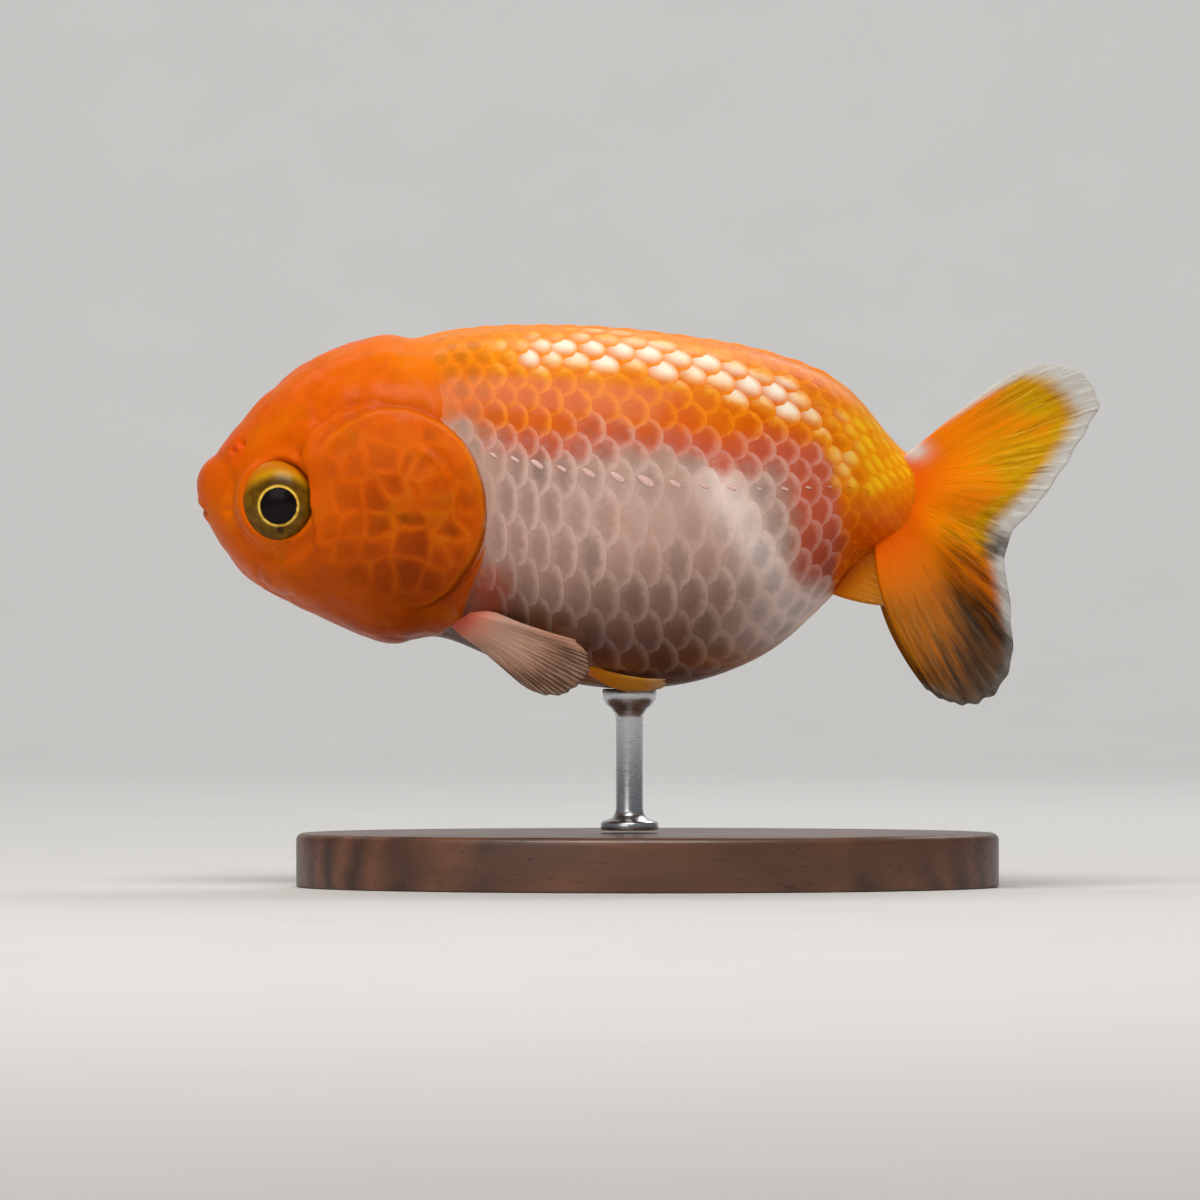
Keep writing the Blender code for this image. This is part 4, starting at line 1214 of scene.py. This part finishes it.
def fin_finish(name, ray_count, root, middle, yellow, milk, smoke, ash, clear, pale_rays):
    """Web and rays: streaks run along the rays, and the margin is milky and part see-through."""
    material, tree, feed = new_finish(
        name, glow=(1.0, 0.6, 0.35), Roughness=0.45, Coat_Weight=0.02, Coat_Roughness=0.2,
        Subsurface_Weight=0.12, Subsurface_Scale=0.0006, Specular_IOR_Level=0.03,
    )
    mid_share, yellow_share, milk_share = kept(tree, "zones", "Color").parts()
    u, v = mapped(tree, "rays")

    def streaks(along, across, detail, roughness=0.5):
        """Noise drawn out along the rays."""
        place = add(tree, "ShaderNodeCombineXYZ", {0: u * along, 1: v * (ray_count * across)})
        return place.speckle(1.0, detail, roughness)

    def streaked(share, much=1.0):
        """A share whose edge is torn into streaks: share + much share (1 - share) swing."""
        partial = share * (share * -1.0 + 1.0) * much
        return add(tree, "ShaderNodeClamp", {0: partial * swing + share})

    streak, fine = streaks(2.5, 2.2, 3.0, 0.6), streaks(8.0, 7.0, 2.0)
    hairs = streaks(3.0, 5.0, 2.0, 0.7)
    swing = (streak - 0.5) * 7.0
    colour = streaked(yellow_share).blend(mid_share.blend(root, middle), yellow)
    # Painted shade over the tail's lower lobe and a band between its lobes, and a little over the
    # small fins
    colour = kept(tree, "painted_shade").blend(colour, colour.tinted(tone(180, 170, 120)))
    milky, smoky = streaked(milk_share, 0.45), streaked(kept(tree, "zones", "Alpha"))
    colour = milky.blend(colour, milk)
    colour = smoky.blend(colour, u.ramp(0.8, 0.98).blend(smoke, ash))
    once, twice = (
        (v * (2 * math.pi * count)).maths("COSINE") for count in (ray_count, 2 * ray_count)
    )
    comb = once + (twice - once) * u.ramp(*RAYS_DIVIDE)
    on_ray = (comb * (0.35 + pale_rays) + (fine * 3.0 - 1.5)).ramp(-0.2, 0.9)
    darker = colour.tinted(tone(218, 196, 172))
    lighter = colour.passing_to(tone(255, 232, 204), pale_rays)
    faint = u.ramp(0.25, 0.7, 0.1, 0.9) * streak.ramp(0.35, 0.6, 0.2, 1.0)
    faint = faint * milky.ramp(0.2, 1.0, 1.0, 0.35 + pale_rays)
    colour = faint.blend(colour, on_ray.blend(darker, lighter))
    dark_hair = hairs.ramp(0.56, 0.68) * u.ramp(0.12, 0.35, 0.0, 0.45)
    colour = dark_hair.blend(colour, colour.tinted(tone(150, 120, 96)))
    sheer = u.ramp(0.6, 1.0, 0.0, clear) * milky.maths("MAXIMUM", smoky * 0.25)
    sheer = sheer * on_ray.ramp(0.0, 1.0, 1.0, 0.55)
    ribs = comb * u.ramp(0.3, 0.6, 0.0, 0.3) + fine
    feed(Base_Color=colour, Alpha=sheer * -1.0 + 1.0, Normal=bump(ribs, 0.35, 0.00006))
    return material


def tail_zones(u, v, web, rear_gap, front_gap):
    """Orange to olive yellow to milk in the upper lobe; orange to brown to smoke in the lower.
    Painted shade darkens the lower lobe and a band between the lobes.
    """
    x, _, z = web.T
    slow = swell(np.stack((u * 3.0, v * 11.0, 0 * u), -1), 1.0, 91) - 0.5
    band = curve_through(MILK_BAND, v) * (1 + 0.5 * slow)
    front_band = 1.7 * step(0.25, 0.95, u)
    front_milk = step(front_band + 1.0, front_band - 0.7, front_gap) * step(0.25, 0.5, u)
    rear_milk = step(band + 2.0, band - 1.3, rear_gap)
    milk = np.max((rear_milk, front_milk, patches(x, z, MILK_PATCHES)), axis=0)
    yellow = np.max((
        patches(x, z, YELLOW_PATCHES).clip(0, 1),
        step(band + 5.0, band + 2.2, rear_gap) * (1 - step(0.5, 0.6, v)),
        0.5 * step(0.6, 0.75, v) * step(0.25, 0.6, u),
    ), axis=0)
    start = curve_through(SMOKE_START, v)
    smoke = np.max((
        0.9 * step(start - 0.15, start + 0.34, u + 0.15 * slow) * step(0.57, 0.68, v),
        0.42 * hump((v - 0.6) / 0.07) * step(0.25, 0.55, u),
        patches(x, z, SMOKE_PATCHES),
    ), axis=0)
    # Painted shade: the lower lobe darker, and a darker band between the lobes
    lower_lobe_shade = step(0.5, 0.68, v) * (0.3 + 0.7 * step(0.1, 0.5, u))
    painted_shade = np.maximum(lower_lobe_shade, 0.45 * hump((v - 0.45) / 0.06) * step(0.15, 0.4, u))
    return np.stack((step(0.0, 0.4, u), yellow, milk, smoke), -1), painted_shade


def pectoral_zones(u, v, web, rear_gap, front_gap):
    """A red fleshy root, then white, then clear with brown between the rays."""
    milk = step(0.1, 0.34, u) * (1 - 0.35 * step(0.45, 0.85, u))
    smoke = 0.84 * step(0.4, 0.8, u) * step(0.0, 0.25, v)
    return np.stack((step(0.0, 0.2, u), 0 * u, milk, smoke), -1), 0 * u


def small_fin_zones(u, v, web, rear_gap, front_gap):
    """Yellow orange for most of its length, paler at the margin, with a little painted shade all
    over.
    """
    margin, smoke = 0.6 * step(0.75, 1.0, u), 0.35 * step(0.3, 0.9, v) * u
    return np.stack((step(0, 0.3, u), step(0.2, 0.7, u), margin, smoke), -1), 0.1 + 0 * u


tail_finish = fin_finish(
    "tail_finish", 18, tone(222, 92, 0), tone(238, 128, 0), tone(206, 158, 0),
    tone(208, 208, 204), tone(48, 28, 4), tone(62, 50, 38), clear=0.35, pale_rays=0.03,
)
pectoral_finish = fin_finish(
    "pectoral_finish", 12, tone(192, 84, 62), tone(200, 132, 110), tone(196, 150, 96),
    tone(178, 140, 122), tone(88, 62, 46), tone(100, 76, 60), clear=0.35, pale_rays=0.3,
)
small_fin_finish = fin_finish(
    "anal_finish", 9, tone(220, 100, 6), tone(226, 126, 10), tone(224, 150, 30),
    tone(214, 190, 150), tone(140, 90, 30), tone(150, 110, 60), clear=0.3, pale_rays=0.15,
)
for side, word in SIDES:
    tail = fin_piece(
        f"tail_fin_{word}", side, TAIL_RAYS, (64, 150), 18, 1.7, tail_zones, tail_finish,
        powers=TAIL_POWERS, ruffle=0.35,
    )
    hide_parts(f"tail_fin_{word}_upper", f"tail_fin_{word}_lower")
    pectoral = fin_piece(
        f"pectoral_web_{word}", side, PECTORAL_RAYS, (48, 84), 12, 1.7, pectoral_zones,
        pectoral_finish, ruffle=0.15, arm=1.1,
    )
    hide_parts(f"pectoral_fin_{word}")
    pelvic = fin_piece(
        f"pelvic_web_{word}", side, PELVIC_RAYS, (40, 60), 9, 1.1, small_fin_zones,
        small_fin_finish,
    )
    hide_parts(f"pelvic_fin_{word}")
    anal = fin_piece(
        f"anal_web_{word}", side, ANAL_RAYS, (36, 60), 9, 1.1, small_fin_zones, small_fin_finish,
    )
    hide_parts(f"anal_fin_{word}")


# ---------------------------------------------------------------------------------------------
# Stand
# An oval plinth of oiled walnut with its edges eased by hand, and a turned steel rod with a
# collar at its foot and a shallow cup that the belly rests in.
# ---------------------------------------------------------------------------------------------
TOP_EASE, FOOT_EASE = 0.8, 0.35


def plan_box(node):
    """The low and high corners of a CAD node in the drawing's millimetres."""
    return [(np.array(corner) - to_frame((0, 0, 0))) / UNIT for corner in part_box(node)]


def turned(name, profile, centre, radii, points, finish):
    """A profile of (inset from the radii, height) carried round an oval."""
    turn = np.linspace(0, 2 * math.pi, points, endpoint=False)
    inset, height = np.array(profile, float).T
    x = centre[0] + (radii[0] - inset[:, None]) * np.cos(turn)
    y = centre[1] + (radii[1] - inset[:, None]) * np.sin(turn)
    rings = np.stack((x, y, height[:, None] + 0 * turn), -1).reshape(-1, 3)
    tips = np.array([(*centre, height[0]), (*centre, height[-1])])
    return add_piece(
        name, np.concatenate((rings, tips)), tube_faces(len(inset), points), {},
        {"OFBake": tube_map(len(inset), points)}, finish,
    )


walnut_finish, tree, feed = new_finish("walnut_finish", Coat_Weight=0.25, Coat_Roughness=0.25)
place = place_on(tree)
board = add(tree, "ShaderNodeMapping", {"Vector": place, "Scale": (0.12, 1.0, 1.0)})
figure = board.speckle(170.0, 4.0, 0.6)
waves = {"Vector": board, "Scale": 90.0, "Distortion": 7.0, "Detail": 3.0, "Detail Scale": 1.2}
grain = add(tree, "ShaderNodeTexWave", waves, output=1, bands_direction="Y")
pores = add(tree, "ShaderNodeMapping", {"Vector": place, "Scale": (0.06, 1.0, 1.0)}).speckle(2600.0)
wood = grain.blend(tone(62, 36, 22), tone(112, 70, 44))
wood = figure.ramp(0.35, 0.7).blend(wood, tone(88, 54, 34))
wood = pores.ramp(0.6, 0.75, 0.0, 0.6).blend(wood, tone(36, 20, 12))
sunk = {"Strength": 0.3, "Distance": 0.00008, "Height": pores, "Filter Width": 1.0}
relief = add(tree, "ShaderNodeBump", sunk, invert=True)
feed(Base_Color=wood, Roughness=pores.ramp(0.3, 0.8, 0.36, 0.55), Normal=relief)

low, high = plan_box("stand_base")
centre, radii = (low + high)[:2] / 2, (high - low)[:2] / 2
quarter = np.linspace(math.pi / 2, 0, 8)
inner = [radii[1] * share for share in (0.9, 0.5, 0.1)]
profile = [(inset, low[2]) for inset in inner]
profile += [
    (FOOT_EASE * (1 - math.cos(t)), low[2] + FOOT_EASE * (1 - math.sin(t))) for t in quarter
]
profile += [(TOP_EASE * (1 - math.sin(t)), high[2] - TOP_EASE * (1 - math.cos(t))) for t in quarter]
profile += [(inset, high[2]) for inset in inner[::-1]]
plinth = turned("stand_plinth", profile, centre, radii, 128, walnut_finish)
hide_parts("stand_base")

steel_finish, tree, feed = new_finish("steel_finish", Metallic=1.0)
turning = add(tree, "ShaderNodeMapping", {"Vector": place_on(tree), "Scale": (1.0, 1.0, 18.0)})
lathe_marks = turning.speckle(900.0, 3.0)
feed(Base_Color=lathe_marks.blend(tone(176, 177, 180), tone(206, 207, 210)),
     Roughness=lathe_marks.ramp(0.3, 0.7, 0.2, 0.34))

low, high = plan_box("stand_rod")
centre = (low + high)[:2] / 2
widest = (high - low)[0] / 2
# Radii and heights of the collar up from the foot, and of the cup down from the top
collar = (
    (0.3, 0), (3.1, 0), (3.2, 0.1), (3.2, 0.7), (3.05, 0.95), (2.6, 1.1), (1.9, 1.4), (1.6, 1.9),
    (1.5, 2.4),
)
cup = (
    (1.5, -3.4), (1.6, -2.8), (2.0, -2.2), (2.6, -1.7), (2.95, -1.1), (3.0, -0.5), (2.98, -0.1),
    (2.85, 0), (2.6, -0.05), (1.5, -0.3), (0.2, -0.4),
)
profile = [
    (widest - radius, end + height)
    for end, part in ((low[2], collar), (high[2], cup)) for radius, height in part
]
rod = turned("stand_rod_and_cup", profile, centre, (widest, widest), 64, steel_finish)
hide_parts("stand_rod")


# ---------------------------------------------------------------------------------------------
# Studio
# A pale sweep of card under and behind the fish, a wide soft lamp above it, and the camera
# level with its flank, a metre away.
# ---------------------------------------------------------------------------------------------
CARD_BEND = 0.45
CARD_TURNS_AT = 0.7
CAMERA_AWAY = 1.0
SENSOR = 36.0
FIELD = 133.2
LOOKS_AT = (-5.27, 0.0, -10.16)

sweep_finish, tree, feed = new_finish("sweep_finish", Roughness=0.9)
tooth = place_on(tree).speckle(40.0, 3.0)
feed(Base_Color=tooth.blend(tone(205, 204, 202), tone(211, 210, 208)))
bend = np.linspace(0, math.pi / 2, 24)[1:]
flat_y = np.linspace(-3.0, CARD_TURNS_AT, 12)
run_y = np.concatenate((flat_y, CARD_TURNS_AT + CARD_BEND * np.sin(bend), [1.15]))
run_z = np.concatenate((0 * flat_y, CARD_BEND * (1 - np.cos(bend)), [1.8]))
run_x = np.linspace(-3.0, 3.0, 9)
sheet = np.stack(np.broadcast_arrays(run_x[None], run_y[:, None], run_z[:, None]), -1)
index = np.arange(run_y.size * run_x.size).reshape(run_y.size, run_x.size)
quads = quads_of(index)[:, ::-1]
sweep = place_in_scene("sweep", smooth_mesh("sweep", sheet.reshape(-1, 3), [quads], sweep_finish))


def soft_lamp(name, place, towards, size, power, colour):
    """A soft oblong lamp at place, turned to shine on towards."""
    lamp = bpy.data.lights.new(name, "AREA")
    lamp.shape = "RECTANGLE"
    lamp.size, lamp.size_y = size
    lamp.energy = power
    lamp.color = colour
    made = place_in_scene(name, lamp)
    made.location = place
    aim = Vector(towards) - Vector(place)
    made.rotation_euler = aim.to_track_quat("-Z", "Y").to_euler()


soft_lamp("lamp_above", (-0.05, -0.30, 0.52), (0.0, 0.0, 0.045), (0.34, 0.26), 2.7, (1.0, 0.96, 0.91))
soft_lamp("lamp_front", (-0.35, -0.85, 0.35), (0.0, 0.0, 0.045), (0.5, 0.4), 1.2, (1.0, 0.97, 0.94))
soft_lamp("lamp_rear", (0.20, 0.35, 0.40), (0.0, 0.0, 0.05), (0.3, 0.2), 0.5, (0.97, 0.98, 1.0))
soft_lamp("lamp_card", (0.0, 0.55, 1.00), (0.0, 1.10, 0.10), (1.6, 0.3), 7.4, (1.0, 0.99, 0.98))

world = bpy.data.worlds.new("room")
world.use_nodes = True
room = world.node_tree
air = room.nodes["Background"].inputs
air[0].default_value = (0.9, 0.93, 1.0, 1.0)
strength = add(room, "ShaderNodeLightPath", output="Is Camera Ray") * 0.4 + 0.2
room.links.new(strength.socket, air[1])
bpy.context.scene.world = world
bpy.context.scene.view_settings.view_transform = "Standard"

camera_data = bpy.data.cameras.new("camera")
camera_data.sensor_width = SENSOR
camera_data.lens = SENSOR * CAMERA_AWAY / (FIELD * UNIT)
camera_data.clip_start = 0.01
camera = place_in_scene("camera", camera_data)
camera.location = to_frame(LOOKS_AT) + (0, -CAMERA_AWAY, 0)
camera.rotation_euler = (math.pi / 2, 0, 0)
bpy.context.scene.camera = camera
